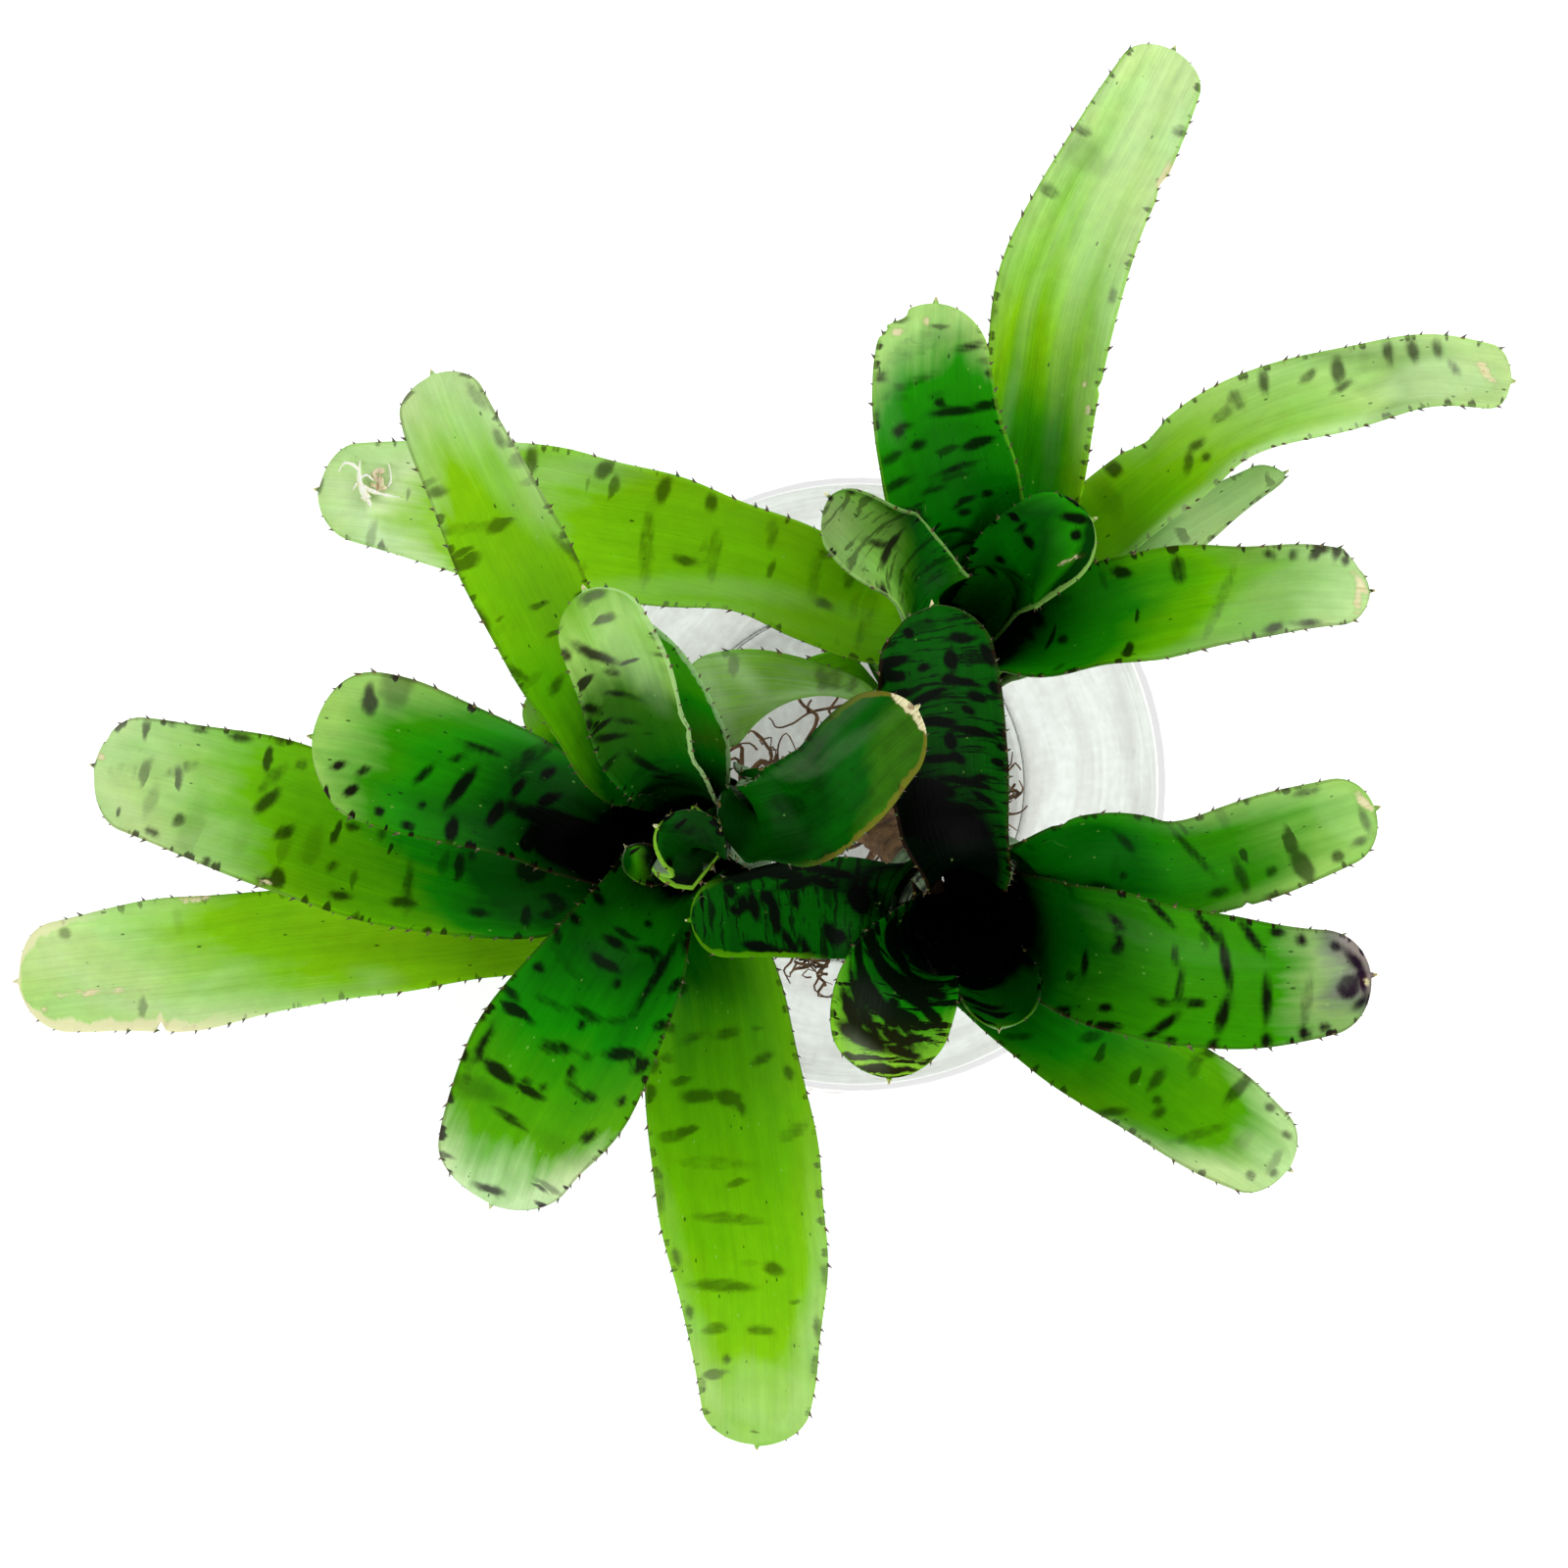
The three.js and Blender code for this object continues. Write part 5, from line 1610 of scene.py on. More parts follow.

# The runs hold the leaves' own colours and also painted light: the near-black at each throat is
# partly painted shade, and the pale milky tips are partly a painted reflection of the white
# surroundings.
FINISHES: dict[str, LeafFinish] = {
    "left_01": LeafFinish(
        "0 FOREST 10 FERN 20 FOREST 40 LEAF 80 BRIGHT 100 PEAR", dark=0.68, bars=0.14, slant=0.05,
        halo=0.1),
    "left_02": LeafFinish(
        "0 BOTTLE 10 PITCH 40 FOREST 70 OLIVE 90 SAGE 100 APPLE", dark=0.95, bars=0.2,
        rim=Tint.PEAR, rim_width=0.6, rim_side=1, rim_strength=0.6),
    "left_03": LeafFinish(
        "0 INK 20 INK 50 FOREST 70 EMERALD 80 MEADOW 100 SAGE", full=0.7, bars=0.03, sheen=0.2,
        slant=0.08, halo=0.1),
    "left_04": LeafFinish(
        "10 FOREST 30 FOREST 40 GRASS 50 LEAF 70 LIME 100 PEAR", dark=0.86, bars=0.2, specks=0.05,
        nicks=(Nick(0.985, 1, 1.0, 0.6),), slant=-0.05, halo=0.1),
    "left_05": LeafFinish(
        "10 BRIGHT 60 BRIGHT 80 MINT 90 PEAR 100 MINT", dark=0.55, bars=0.03, specks=0.03,
        nicks=(Nick(0.77, -1, 3.4, 0.8),), rim=Tint.CREAM, rim_width=2.4, rim_first=0.88,
        rim_strength=0.9, slant=-0.12, halo=0.1),
    "left_06": LeafFinish(
        "0 INK 10 GRASS 30 FOREST 50 GRASS 80 LEAF 100 FROST", dark=0.97, sheen=0.14, bars=0.22,
        bar_size=(5, 1.5), slant=-0.05, halo=0.1),
    "left_07": LeafFinish(
        "0 FOREST 10 FERN 30 LEAF 60 LIME 80 BRIGHT 100 SAGE", dark=0.68, bars=0.08,
        rim=Tint.SPRING, rim_width=0.4, rim_strength=0.24, slant=-0.05, halo=0.25),
    "left_08": LeafFinish(
        "20 FOREST 60 BOTTLE 70 FOREST 80 FOREST 90 OLIVE 100 OLIVE", dark=0.6, bars=0.04,
        bar_size=(6, 5), dry_tip=1.8, dead=Tint.CORK, rim=Tint.OCHRE, rim_width=1.2,
        rim_strength=0.5, rim_first=0.7, streaks=0.8, specks=0.04, slant=0.2),
    "left_09": LeafFinish(
        "40 PITCH 50 BOTTLE 90 BOTTLE 100 FOREST", full=0.5, bars=0.4, rim=Tint.SPRING,
        rim_width=0.9, rim_side=-1, rim_strength=0.8),
    "left_10": LeafFinish(
        "70 FERN 80 LIME 90 PALM", dark=0.8, bars=0.3, rim=Tint.SPRING, rim_width=0.5,
        rim_strength=0.36, slant=-0.1),
    "left_11": LeafFinish(
        "10 FOREST 30 FERN 40 OLIVE 60 GRASS 70 MEADOW 90 MEADOW", dark=0.8, bars=0.15,
        rim=Tint.FROST, rim_width=0.7, rim_strength=0.42, slant=0.1),
    "left_12": LeafFinish(
        "60 INK 70 PITCH 80 OLIVE 90 MEADOW 100 FOREST", full=0.5, bars=0.5, slant=-0.2, halo=-0.1),
    "front_01": LeafFinish(
        "10 INK 40 INK 70 FOREST 100 FOREST", full=0.5, bars=0.4, bands=0.4, bar_size=(6, 1.7),
        nicks=(Nick(0.96, -1, 0.8, 2),), streaks=0.6, slant=0.2, halo=0.2),
    "front_02": LeafFinish(
        "10 BOTTLE 20 INK 40 FOREST 100 FOREST", full=0.6, bars=0.4, bands=0.45, bar_size=(7, 1.1),
        rim=Tint.LIME, rim_width=1.2, rim_first=0.9, rim_strength=0.5, slant=-0.2, halo=0.2),
    "front_03": LeafFinish(
        "0 INK 30 INK 50 FOREST 60 FOREST 70 GRASS 100 SPRING", full=0.5, bars=0.2, bands=0.7,
        bar_size=(12, 1.0), rim=Tint.LIME, rim_first=0.8, slant=0.05, halo=0.1),
    "front_04": LeafFinish(
        "0 INK 40 INK 50 BOTTLE 80 BOTTLE 90 FOREST 100 OLIVE", full=0.5, bars=0.4,
        bar_size=(7, 1.0), rim=Tint.LIME, rim_first=0.75, halo=-0.1),
    "front_05": LeafFinish(
        "0 FOREST 10 FERN 40 FERN 50 EMERALD 70 MEADOW 100 SAGE", dark=0.76, bars=0.1,
        nicks=(Nick(0.25, -1, 0.9, 1.6), Nick(0.66, 1, 0.8, 0.8)), halo=0.2),
    "front_06": LeafFinish(
        "0 INK 20 FOREST 30 FOREST 60 MEADOW 80 MEADOW 90 CELADON 95 DUSK 100 MAUVE", bars=0.12),
    "front_07": LeafFinish(
        "0 INK 20 FOREST 40 GRASS 70 LEAF 80 LEAF 100 PEAR", dark=0.74, bars=0.12, bar_size=(5, 2),
        slant=0.05, halo=0.2),
    "back_01": LeafFinish(
        "10 LIME 60 BRIGHT 70 SAGE 80 SPRING 90 FROST 100 PEAR", dark=0.74, bars=0.05, specks=0.04,
        rim=Tint.SPRING, rim_strength=0.24, slant=0.05, halo=0.1),
    "back_02": LeafFinish(
        "0 FERN 10 INK 30 FERN 40 FERN 80 EMERALD 100 MINT", dark=0.94, sheen=0.2, bars=0.3,
        nicks=(Nick(0.96, -1, 2.2, 1.6), Nick(0.92, -1, 1.0, 1.2)), rim=Tint.SPRING,
        rim_strength=0.3, slant=-0.05, halo=0.1),
    "back_03": LeafFinish(
        "20 GRASS 30 MEADOW 50 BRIGHT 70 SAGE 100 PEAR", dark=0.8, bars=0.04, sheen=0.5,
        streaks=0.55, specks=0.02, bar_size=(7, 4), rim=Tint.BRIGHT, rim_strength=0.36,
        nicks=(Nick(0.77, 1, 0.9, 3), Nick(0.4, 1, 1.0, 0.8)), slant=0.05, halo=0.2),
    "back_04": LeafFinish(
        "30 LIME 40 BRIGHT 70 MINT 80 CELADON 100 PEAR", dark=0.8, bars=0.08, sheen=0.85,
        nicks=(Nick(0.37, -1, 1.2, 6),), below=Tint.FROST, rim=Tint.SPRING, rim_strength=0.24,
        slant=-0.05, halo=0.1),
    "back_05": LeafFinish(
        "0 PITCH 40 CELADON 60 FROST 100 PEAR", dark=0.5, bars=0.03, below=Tint.CELADON,
        rim=Tint.DUSK, slant=0.2, halo=0.2),
    "back_06": LeafFinish(
        "0 PITCH 10 FERN 40 EMERALD 60 LIME 80 PALM 100 PEAR", dark=0.92, bars=0.08, specks=0.04,
        nicks=(Nick(0.97, -1, 2.0, 4),), below=Tint.FROST, slant=0.05, halo=0.1),
    "back_07": LeafFinish(
        "0 MEADOW 30 FERN 50 FOREST 60 OLIVE 80 PALM 100 CELADON", bands=0.5, bars=0.1,
        bar_size=(6, 1.2), rim=Tint.MINT, rim_strength=0.36, slant=-0.2, halo=-0.1),
    "back_08": LeafFinish(
        "0 GRASS 10 BOTTLE 50 FERN 70 FOREST 90 EMERALD 100 BOTTLE", full=0.7, bars=0.12,
        bar_size=(4, 1.4), rim=Tint.SAGE, rim_width=0.9, rim_side=1, rim_strength=0.7, slant=0.2,
        halo=0.2),
    "back_09": LeafFinish(
        "10 LEAF 20 LIME 40 LIME 60 PALM 70 SPRING 90 MINT", dark=0.6, bars=0.05,
        below=Tint.SPRING, scurf=0.35, sheen=0.8, streaks=0.7, rim=Tint.LEAF, rim_width=1.0,
        rim_strength=0.36),
}

# Per patch: share and across in hundredths, both halves in tenths of a millimetre, tilt, weight.
# In left_03 the long dark patches near the throat, at shares 8 to 10, are painted shade in its
# channel, not markings.
MARKS_AND_SHADE = read_patches("""
back_09 53 -70 35 9 -21 75; 50 -80 28 8 -18 60; 45 -85 20 7 -21 60
back_01 68 78 25 10 -6 70; 57 87 21 13 -32 80; 48 77 26 11 -12 85; 41 80 17 10 7 80; 49 -16 57 11 6
45; 39 -6 37 10 5 40; 32 64 20 8 13 45; 24 21 32 9 15 40; 19 43 15 9 17 50; 43 -23 21 8 87 95; 21
-18 19 8 -88 95; 14 -27 33 7 -10 40; 24 68 12 6 -90 60
left_01 93 84 22 7 -73 50; 85 82 14 7 -89 60; 82 -83 17 8 -14 80; 75 -63 43 7 -19 42; 65 94 24 6
-71 60; 60 -100 18 6 89 75; 48 -92 21 6 -68 75; 42 -42 20 8 23 80; 71 -100 11 6 87 65
left_02 87 -37 43 8 -56 90; 91 -97 9 6 -76 75; 72 -24 19 6 -44 75; 80 -20 14 6 -58 55; 73 -86 35 8
-65 95; 59 -66 37 8 -39 98; 38 -19 66 8 -78 90; 71 -15 30 6 -41 50; 68 -100 17 8 -90 80; 25 -13 49
8 -78 90; 61 -19 18 6 -43 55
left_03 60 -17 40 10 -18 98; 49 -37 27 11 -16 98; 59 -79 24 11 5 98; 46 13 19 8 -10 90; 41 55 14 8
-11 85; 70 -15 18 6 -30 60; 63 21 11 6 -57 50; 85 -35 11 6 -44 55; 92 -41 12 6 -67 75; 87 -67 14 8
-50 80; 68 -56 6 6 0 70; 78 -80 8 8 50 80; 70 -88 11 8 -86 85; 38 -69 15 15 -77 98; 45 -96 8 8 -89
90; -9 46 36 12 77 90; 46 66 35 6 -19 45; 48 64 30 6 -22 40; 59 45 28 6 -89 60; 1 53 16 8 87 80; 37
16 21 11 -39 98; 9 7 266 25 -83 98; 10 -27 212 49 -81 98; 8 -37 73 25 -84 95
left_04 68 12 24 9 -39 88; 68 50 16 8 -41 50; 63 -20 16 8 -20 65; 62 -83 21 15 27 90; 82 -52 13 10
-32 60; 64 75 10 9 -56 50; 84 27 24 8 -56 42; 92 4 43 15 -81 28; 87 99 7 6 -89 65; 82 95 12 6 -80
75; 75 92 20 8 -81 80; 68 97 9 6 -80 65; 86 -85 13 6 75 70; 75 -96 8 8 85 80; 64 -92 12 8 87 80; 68
12 30 11 -32 80; 64 -23 16 9 -30 70; 48 19 11 7 -7 55; 54 -43 11 8 -25 60; 51 -77 17 8 -78 90; 41
-42 36 7 11 55; 21 16 31 25 89 96; 32 26 8 8 31 60; 17 -52 16 12 57 95; 18 -34 18 8 72 85; 29 -60
16 8 -90 90; 41 -64 22 8 -77 90; 19 -64 12 8 77 85; 53 16 12 8 -78 80; 11 -40 8 8 0 90; 68 45 27 7
-31 40
left_05 91 77 11 11 4 75
left_06 67 53 36 12 -11 92; 63 85 35 8 89 80; 48 -59 33 11 24 88; 48 -88 19 11 44 96; 61 -48 17 10
22 70; 61 -26 12 7 -7 50; 47 0 8 8 12 85; 44 1 25 8 -3 60; 46 43 24 7 2 42; 25 19 21 9 2 96; 23 -33
20 8 17 95; 24 -48 8 8 0 92; 28 -60 72 8 86 98; 19 -99 18 8 -80 97; 29 -92 17 10 45 98; 38 -92 16 9
30 97; 26 88 15 9 8 92; 18 85 17 8 2 90; 32 88 8 8 -10 80; 40 82 12 8 -4 80; 36 53 36 6 -16 35; 49
90 21 9 -13 60; 55 10 28 12 28 62; 53 -23 10 7 17 50; 58 -17 10 8 78 85; 66 20 8 8 31 65; 65 0 8 7
33 62; 76 18 28 7 -8 62; 72 86 11 8 -32 50; 77 100 8 8 -77 80; 67 100 10 8 -80 80; 57 100 7 7 89
70; 57 -84 11 8 65 80; 69 -76 19 9 65 75; 34 -14 8 8 0 80; 16 -18 8 8 34 85; 26 -63 11 8 -26 90; 43
-22 31 6 26 45; 31 100 6 6 0 70
left_07 35 35 31 12 -6 88; 36 -2 24 15 -17 97; 33 97 14 14 -50 92; 33 -84 14 10 -75 80; 41 72 23 10
-8 60; 43 -75 27 11 24 48; 47 23 53 9 -12 36; 57 19 50 9 -14 48; 25 -10 20 9 8 58; 25 35 22 7 19
52; 30 -52 20 9 20 65; 28 71 12 7 -18 60; 67 -30 18 11 -20 72; 69 41 54 11 -11 62; 77 60 21 11 0
58; 78 -8 23 9 -8 58; 47 96 13 8 -86 90; 51 97 24 8 88 80; 62 92 15 7 -84 75; 73 93 13 8 -82 80; 87
95 13 6 -86 60; 68 -99 16 8 89 85; 77 -97 18 8 -85 80; 84 -98 19 6 85 60; 83 48 8 8 -16 85; 38 -15
13 8 -89 95; 16 45 13 10 68 90; 23 65 9 9 73 90; 29 89 12 9 59 90
back_02 89 68 23 6 18 75; 70 35 43 9 3 92; 72 83 21 9 9 97; 89 -27 49 16 30 30; 81 -90 11 6 7 65;
79 -35 37 6 18 42; 82 100 8 8 -75 80; 68 -52 15 6 0 72; 72 -99 8 6 68 60; 73 11 9 9 -5 85; 58 57 31
12 14 95; 62 -30 15 8 0 85; 37 47 10 9 -17 97; 34 4 14 8 -38 95; 44 -60 13 8 -28 85; 67 -58 11 8 11
80; 51 16 34 7 1 70; 55 -76 29 7 -10 70; 30 -27 52 7 -40 75; 62 -78 21 7 0 60; 47 -22 19 6 -12 60;
44 -66 27 8 -51 80; -5 58 27 7 58 75
back_03 79 -87 17 9 14 58; 68 -82 17 9 2 52; 87 90 13 9 3 52; 56 87 12 6 -82 65; 49 -100 11 7 -89
55
back_04 29 -88 17 14 18 80; 40 6 18 8 -40 62; 43 -15 15 8 84 80; 43 22 9 8 68 85; 57 -73 20 8 -12
85; 52 -56 16 11 8 50; 69 -50 24 11 -6 92; 69 -10 16 6 -70 75; 78 -68 19 8 2 70; 82 -64 20 9 10 78;
86 -66 15 7 11 75; 89 -15 13 6 40 70; 64 -55 13 7 -59 60; 49 -41 15 9 -78 50
back_06 42 -74 19 11 63 88; 55 -61 23 11 0 62; 63 17 48 6 -28 35; 76 -82 10 6 37 75; 81 -78 9 6 -14
70; 86 -85 14 8 -27 85; 87 -97 13 8 81 85; 93 -76 8 6 45 75; 22 10 13 8 58 92; 5 -66 44 8 57 90; 6
-52 16 8 60 95; 75 88 17 8 -76 85; 84 89 21 6 90 70; 18 -74 47 9 77 40; 2 -30 32 6 61 70
back_08 64 -21 13 8 -3 98; 40 -35 11 8 -35 92; 93 -26 23 8 54 92; 66 -52 9 6 -89 70; 1 -60 23 8 -53
80; 89 15 9 8 -10 90
back_07 100 19 6 6 0 70; 95 85 6 6 0 60; 77 4 28 6 -62 60
front_05 37 -44 23 8 47 95; 56 -35 49 7 25 72; 80 63 34 15 12 92; 88 74 10 10 86 85; 66 42 30 9 7
72; 73 52 8 8 65 85; 60 61 16 8 90 92; 37 20 8 8 77 72; 86 -86 16 6 85 65; 72 99 12 6 89 60; -11 43
37 8 -88 70; 30 44 42 8 86 92; 8 -71 68 6 -68 60; 97 27 18 6 2 60; 94 65 12 6 -85 60
front_06 41 -53 18 8 54 97; 53 -86 32 8 52 88; 65 -77 33 8 41 92; 69 -29 49 8 12 96; 69 51 31 9 -6
96; 75 -75 34 8 34 82; 33 16 23 8 15 92; 42 -25 17 8 28 80; 57 -28 15 6 5 52; 59 13 26 6 1 62; 78
26 36 8 -1 88; 86 37 28 6 -10 42; 58 71 27 8 -31 96; 47 95 23 10 -79 97; 44 70 15 8 -79 92; 33 94
13 8 -76 92; 56 40 15 6 81 60; 63 35 15 8 -85 85; 56 93 8 8 76 92; 60 95 9 8 85 92; 68 97 8 8 35
90; 78 92 12 8 -7 92; 85 88 12 8 14 85; 89 86 8 8 31 80; 81 -89 13 8 82 88; 86 -79 11 8 8 85; 93
-69 11 8 47 85; 97 -42 24 8 30 88; 97 71 14 6 -57 70; 30 41 10 8 79 50; 41 -14 10 8 50 60; 95 20 21
19 -51 70; 98 6 24 8 3 80
front_07 39 -8 21 10 -50 62; 54 88 25 8 -44 82; 59 -3 23 9 -3 72; 62 25 8 8 -78 88; 64 43 13 8 -21
72; 77 -73 33 10 -6 92; 65 -63 21 10 11 52; 75 38 36 6 -38 42; 23 63 21 7 -34 62; 66 -96 9 8 -66
92; 86 -86 9 8 67 82; 94 -70 8 6 70 75; 92 60 8 8 -79 72; 97 38 8 7 -77 72
front_01 86 -85 14 8 -40 97; 85 -65 8 8 -7 97; 87 25 17 10 -82 96; 78 -20 32 8 20 97; 77 60 14 8
-11 92; 70 -7 30 10 -18 98; 66 50 31 9 -13 98; 58 -9 31 8 -16 97; 63 12 19 8 -84 92; 56 85 10 9 -13
98; 50 56 12 8 16 90; 38 34 22 8 -47 92; 85 -100 8 8 86 96; 82 21 13 8 -19 90; 95 -57 8 6 -36 60;
88 90 17 8 -65 90; 86 -23 8 6 22 70; 80 92 10 8 -70 85; 62 95 9 8 -58 90; 81 48 16 6 -14 60; 57 22
13 7 -62 70; 73 43 9 6 -45 70; 42 61 22 6 -50 75; 49 28 45 8 -25 55; 49 -36 56 22 -39 97; 39 -41
119 45 -45 98; 30 37 27 8 -32 90
front_02 75 101 61 8 -83 85; 58 72 34 8 78 92; 43 73 38 8 74 95; 73 100 38 8 -82 85; 73 20 24 8 8
97; 65 -10 30 8 -1 96; 52 88 19 8 88 95; 82 63 14 8 29 80; 66 100 26 8 -82 85; 55 51 29 8 -81 85;
44 49 25 8 60 95; 81 13 10 6 41 70; 56 20 16 6 7 60; 53 -81 20 6 18 70; 60 -71 27 6 28 75; 42 -55
21 8 20 80; 38 -57 13 8 45 90; 73 -78 26 8 71 85; 30 16 30 19 38 98; 64 -96 20 8 72 80; 68 87 47 6
-82 75; 77 28 15 8 27 85; 67 31 15 8 25 80
front_03 70 23 33 8 -33 92; 52 1 69 8 -25 92; 51 -38 67 11 -44 97; 34 37 49 22 -25 98; 66 33 59 8
-45 90; 55 15 78 8 -35 85; 73 -27 25 8 -27 90; 74 67 27 8 -43 80; 53 86 21 8 -43 85; 83 47 43 10
-21 70; 63 55 35 8 -53 80; 67 0 8 8 -56 90; 63 -41 58 8 -54 85; 82 -9 30 6 -26 60; 88 -21 29 6 -19
55; 46 76 31 8 -22 92; 73 -71 13 8 -48 80; 72 50 48 6 -48 70; 72 0 51 6 -41 70
left_08 44 -18 49 19 77 55; 55 -35 47 11 79 35
left_09 62 63 80 8 -63 30
""")
WITHERED = read_patches("""
left_05 88 -35 58 6 87 60; 96 -68 6 6 32 70; 77 -95 11 6 -44 60; 69 96 28 6 90 60
left_04 99 39 10 8 -89 80; 64 -94 14 6 -87 40
front_05 98 -40 27 7 23 50
front_06 99 24 7 6 24 70
back_06 98 -17 29 8 36 80; 97 31 28 6 -8 50
back_04 95 -14 26 9 43 60
back_08 82 52 17 6 -90 60
back_02 95 -22 8 7 -25 60; 92 -72 9 6 4 60
back_03 79 95 29 6 -87 70; 40 75 6 6 8 60; 36 87 8 6 58 45
""")
# Patches of painted sheen: the pale reflection of the white surroundings on tips and turned sides,
# painted into the colour.
PAINTED_SHEEN = read_patches("""
back_03 73 16 326 38 -86 100; 67 18 294 16 -88 100; 71 -27 276 6 86 50; 73 71 291 28 -83 60; 39 77
90 16 -85 45
left_05 78 -75 204 29 82 50; 90 49 91 19 -84 35; 68 -27 38 8 -73 80; 43 -70 40 19 75 95; 57 -94 108
21 -87 45
back_01 90 -27 117 66 62 45; 91 81 27 11 -73 80; 40 -65 202 18 -78 60; 42 -99 108 10 -82 80
left_01 82 61 142 44 -80 65; 95 7 67 35 -18 35
left_02 84 24 141 31 -79 80; 95 42 48 27 -50 60
left_04 91 -2 93 71 84 50; 96 70 56 29 -58 50; 76 -52 26 8 -57 98; 72 -43 33 8 85 98; 90 46 25 6 79
70
left_03 87 73 50 37 85 40; 65 85 123 10 -85 35
left_06 90 28 113 49 -1 60; 81 97 25 25 89 40
left_07 90 -10 129 62 -19 55; 67 -93 184 19 85 40; 66 91 146 12 -85 30
back_02 80 -71 69 22 65 55; 93 -11 58 19 18 40; 73 -75 45 16 -78 40
back_04 34 101 93 15 -89 100; 50 98 117 15 -89 100; 67 100 102 14 -86 80; 85 21 106 35 -83 50
back_06 77 40 167 60 -66 65; 91 22 69 38 -70 60; 55 99 56 13 -82 50
front_05 93 -14 64 39 26 50; 70 -80 121 11 86 40
front_06 92 -30 35 22 33 70; 54 -42 96 11 84 20
front_07 93 -3 66 35 78 55; 75 79 114 13 -76 45
left_08 72 -79 81 6 88 30; 73 -44 66 6 81 30
back_09 74 -46 63 14 -37 100; 57 -23 71 11 74 90; 86 0 83 23 -6 60
front_03 89 61 39 19 -31 60
""")


# ---------------------------------------------------------------- the bowl


@dataclass(frozen=True)
class GlassFinish:
    """Clear glass with faint smears. Its rim glows white: painted light that stands in for the
    studio light caught in the rim.
    """

    tint: Tint = Tint.GLASS
    ior: float = 1.2
    smear_roughness: float = 0.09
    rim_painted_glow: float = 0.8
    lip_heights: tuple[float, float] = (69.5, 73.5)

    def material(self) -> Material:
        """Makes the glass.

        Returns:
            The material.
        """
        material, wiring, surface = blank("clear_glass_smeared")
        place = wiring.place()
        smears, fine = place.noise((0.03, 0.03, 0.11), 4, 0.6, 0.6), place.noise((0.5, 0.5, 0.05))
        amount = (smears + fine * 0.25).span(0.42, 0.78)
        # Painted light: the rim is made white and glowing, as the light caught in the glass bead.
        lip = place.parts()[2].span(*self.lip_heights)
        wiring.fill(surface, {
            "Base Color": wiring.mix(lip, wiring.mix(amount, self.tint, Tint.MIST), Tint.PAPER),
            "Emission Color": wiring.mix(lip, BLACK, WHITE), "Emission Strength": self.rim_painted_glow,
            "Roughness": amount * self.smear_roughness, "Transmission Weight": 1.0,
            "IOR": self.ior, "Normal": wiring.bump(0.12, 0.3, smears)})
        return material


@dataclass
class Bowl:
    """The round glass bowl, blown as one wall with a bead round its rim."""

    height: float = 75
    foot_radius: float = 45
    rim_radius: float = 72
    bead_radius: float = 73
    bead_round: float = 1.5
    lip_width: float = 4.3
    wall: float = 3
    floor: float = 3.5
    swell: float = 2.2
    segments: int = 160
    foot_round: float = 1.2
    foot_stretch: float = 1.1
    wall_rings: int = 34
    wall_end: float = 3.4  # below the top, where the bead takes over
    bead_overlap: float = 0.5  # radians past half a turn on each side
    bead_points: int = 16
    corner_start: float = 6.5  # height at which the inside turns towards the floor
    corner_inset: tuple[float, float] = (0.6, 0.4)
    corner_round: tuple[float, float] = (3.6, 3.0)
    floor_shares: tuple[float, ...] = (0.92, 0.7, 0.4, 0.15, 0)
    hollow: tuple[tuple[float, float], ...] = ((0, 0.25), (0.25, 0.2), (0.85, 0.15), (0.9, 0))

    def outer_radius(self, level: float) -> float:
        """Returns the radius of the outside at a height."""
        rise = 1 - (1 - level / self.height) ** self.swell
        return self.foot_radius + (self.rim_radius - self.foot_radius) * rise

    def profile(self) -> Array:
        """Draws half the bowl's section, from the middle of the foot over the rim and down inside.

        Returns:
            Radius and height of each point.
        """
        turn, low = np.linspace(0, np.pi / 2, 6), self.foot_round
        edge = self.outer_radius(low)
        foot = [(edge - low * self.foot_stretch * (1 - math.sin(a)), low * (1 - math.cos(a)))
                for a in turn]
        levels = np.linspace(low, self.height - self.wall_end, self.wall_rings)[1:]
        outside = [(self.outer_radius(level), level) for level in levels]
        half, top = self.lip_width / 2, self.height - self.bead_round
        bead = [(self.bead_radius - half + half * math.cos(a), top + self.bead_round * math.sin(a))
                for a in np.linspace(-self.bead_overlap, math.pi + self.bead_overlap,
                                     self.bead_points)]
        inside = [(radius - self.wall, level) for radius, level in outside[::-1]
                  if level > self.corner_start]
        (side, start), (inset, drop) = inside[-1], self.corner_inset
        wide, deep = self.corner_round
        corner = [(side - inset - wide * math.sin(a), start - deep * (1 - math.cos(a)) - drop)
                  for a in turn[1:]]
        floor = [(share * corner[-1][0], self.floor) for share in self.floor_shares]
        hollow = [(share * self.foot_radius, level) for share, level in self.hollow]
        return np.array([*hollow, *foot, *outside, *bead, *inside, *corner, *floor])

    def build(self, finish: GlassFinish) -> Piece:
        """Builds and dresses the bowl.

        Args:
            finish: The glass.

        Returns:
            The finished piece, which stands for the CAD bowl.
        """
        profile, angles, count = self.profile(), around(self.segments), self.segments
        rings = [(radius * math.cos(a), radius * math.sin(a), level)
                 for radius, level in profile[1:-1] for a in angles]
        points = [(0, 0, profile[0, 1]), *rings, (0, 0, profile[-1, 1])]
        faces, end = wall_faces(len(profile) - 2, count, 1), len(points) - 1
        for side in range(count):
            following = (side + 1) % count
            faces.append([0, 1 + following, 1 + side])
            faces.append([end - count + side, end - count + following, end])
        return finished("bowl_glass", plain_mesh("bowl_glass", np.array(points), faces),
                        "clear_glass", "bowl", finish.material())


# ---------------------------------------------------------------- stems, runners and roots


class Stem(Enum):
    """Where each rosette's stem stands, low in the bowl."""

    LEFT = (-15, -4, 10)
    FRONT = (9, -11, 9)
    BACK = (8, 13, 11)

    @property
    def foot(self) -> Array:
        """Returns the stem's lowest point."""
        return np.array(self.value, float)

    @property
    def rosette(self) -> Rosette:
        """Returns the rosette that it carries."""
        return Rosette[self.name]


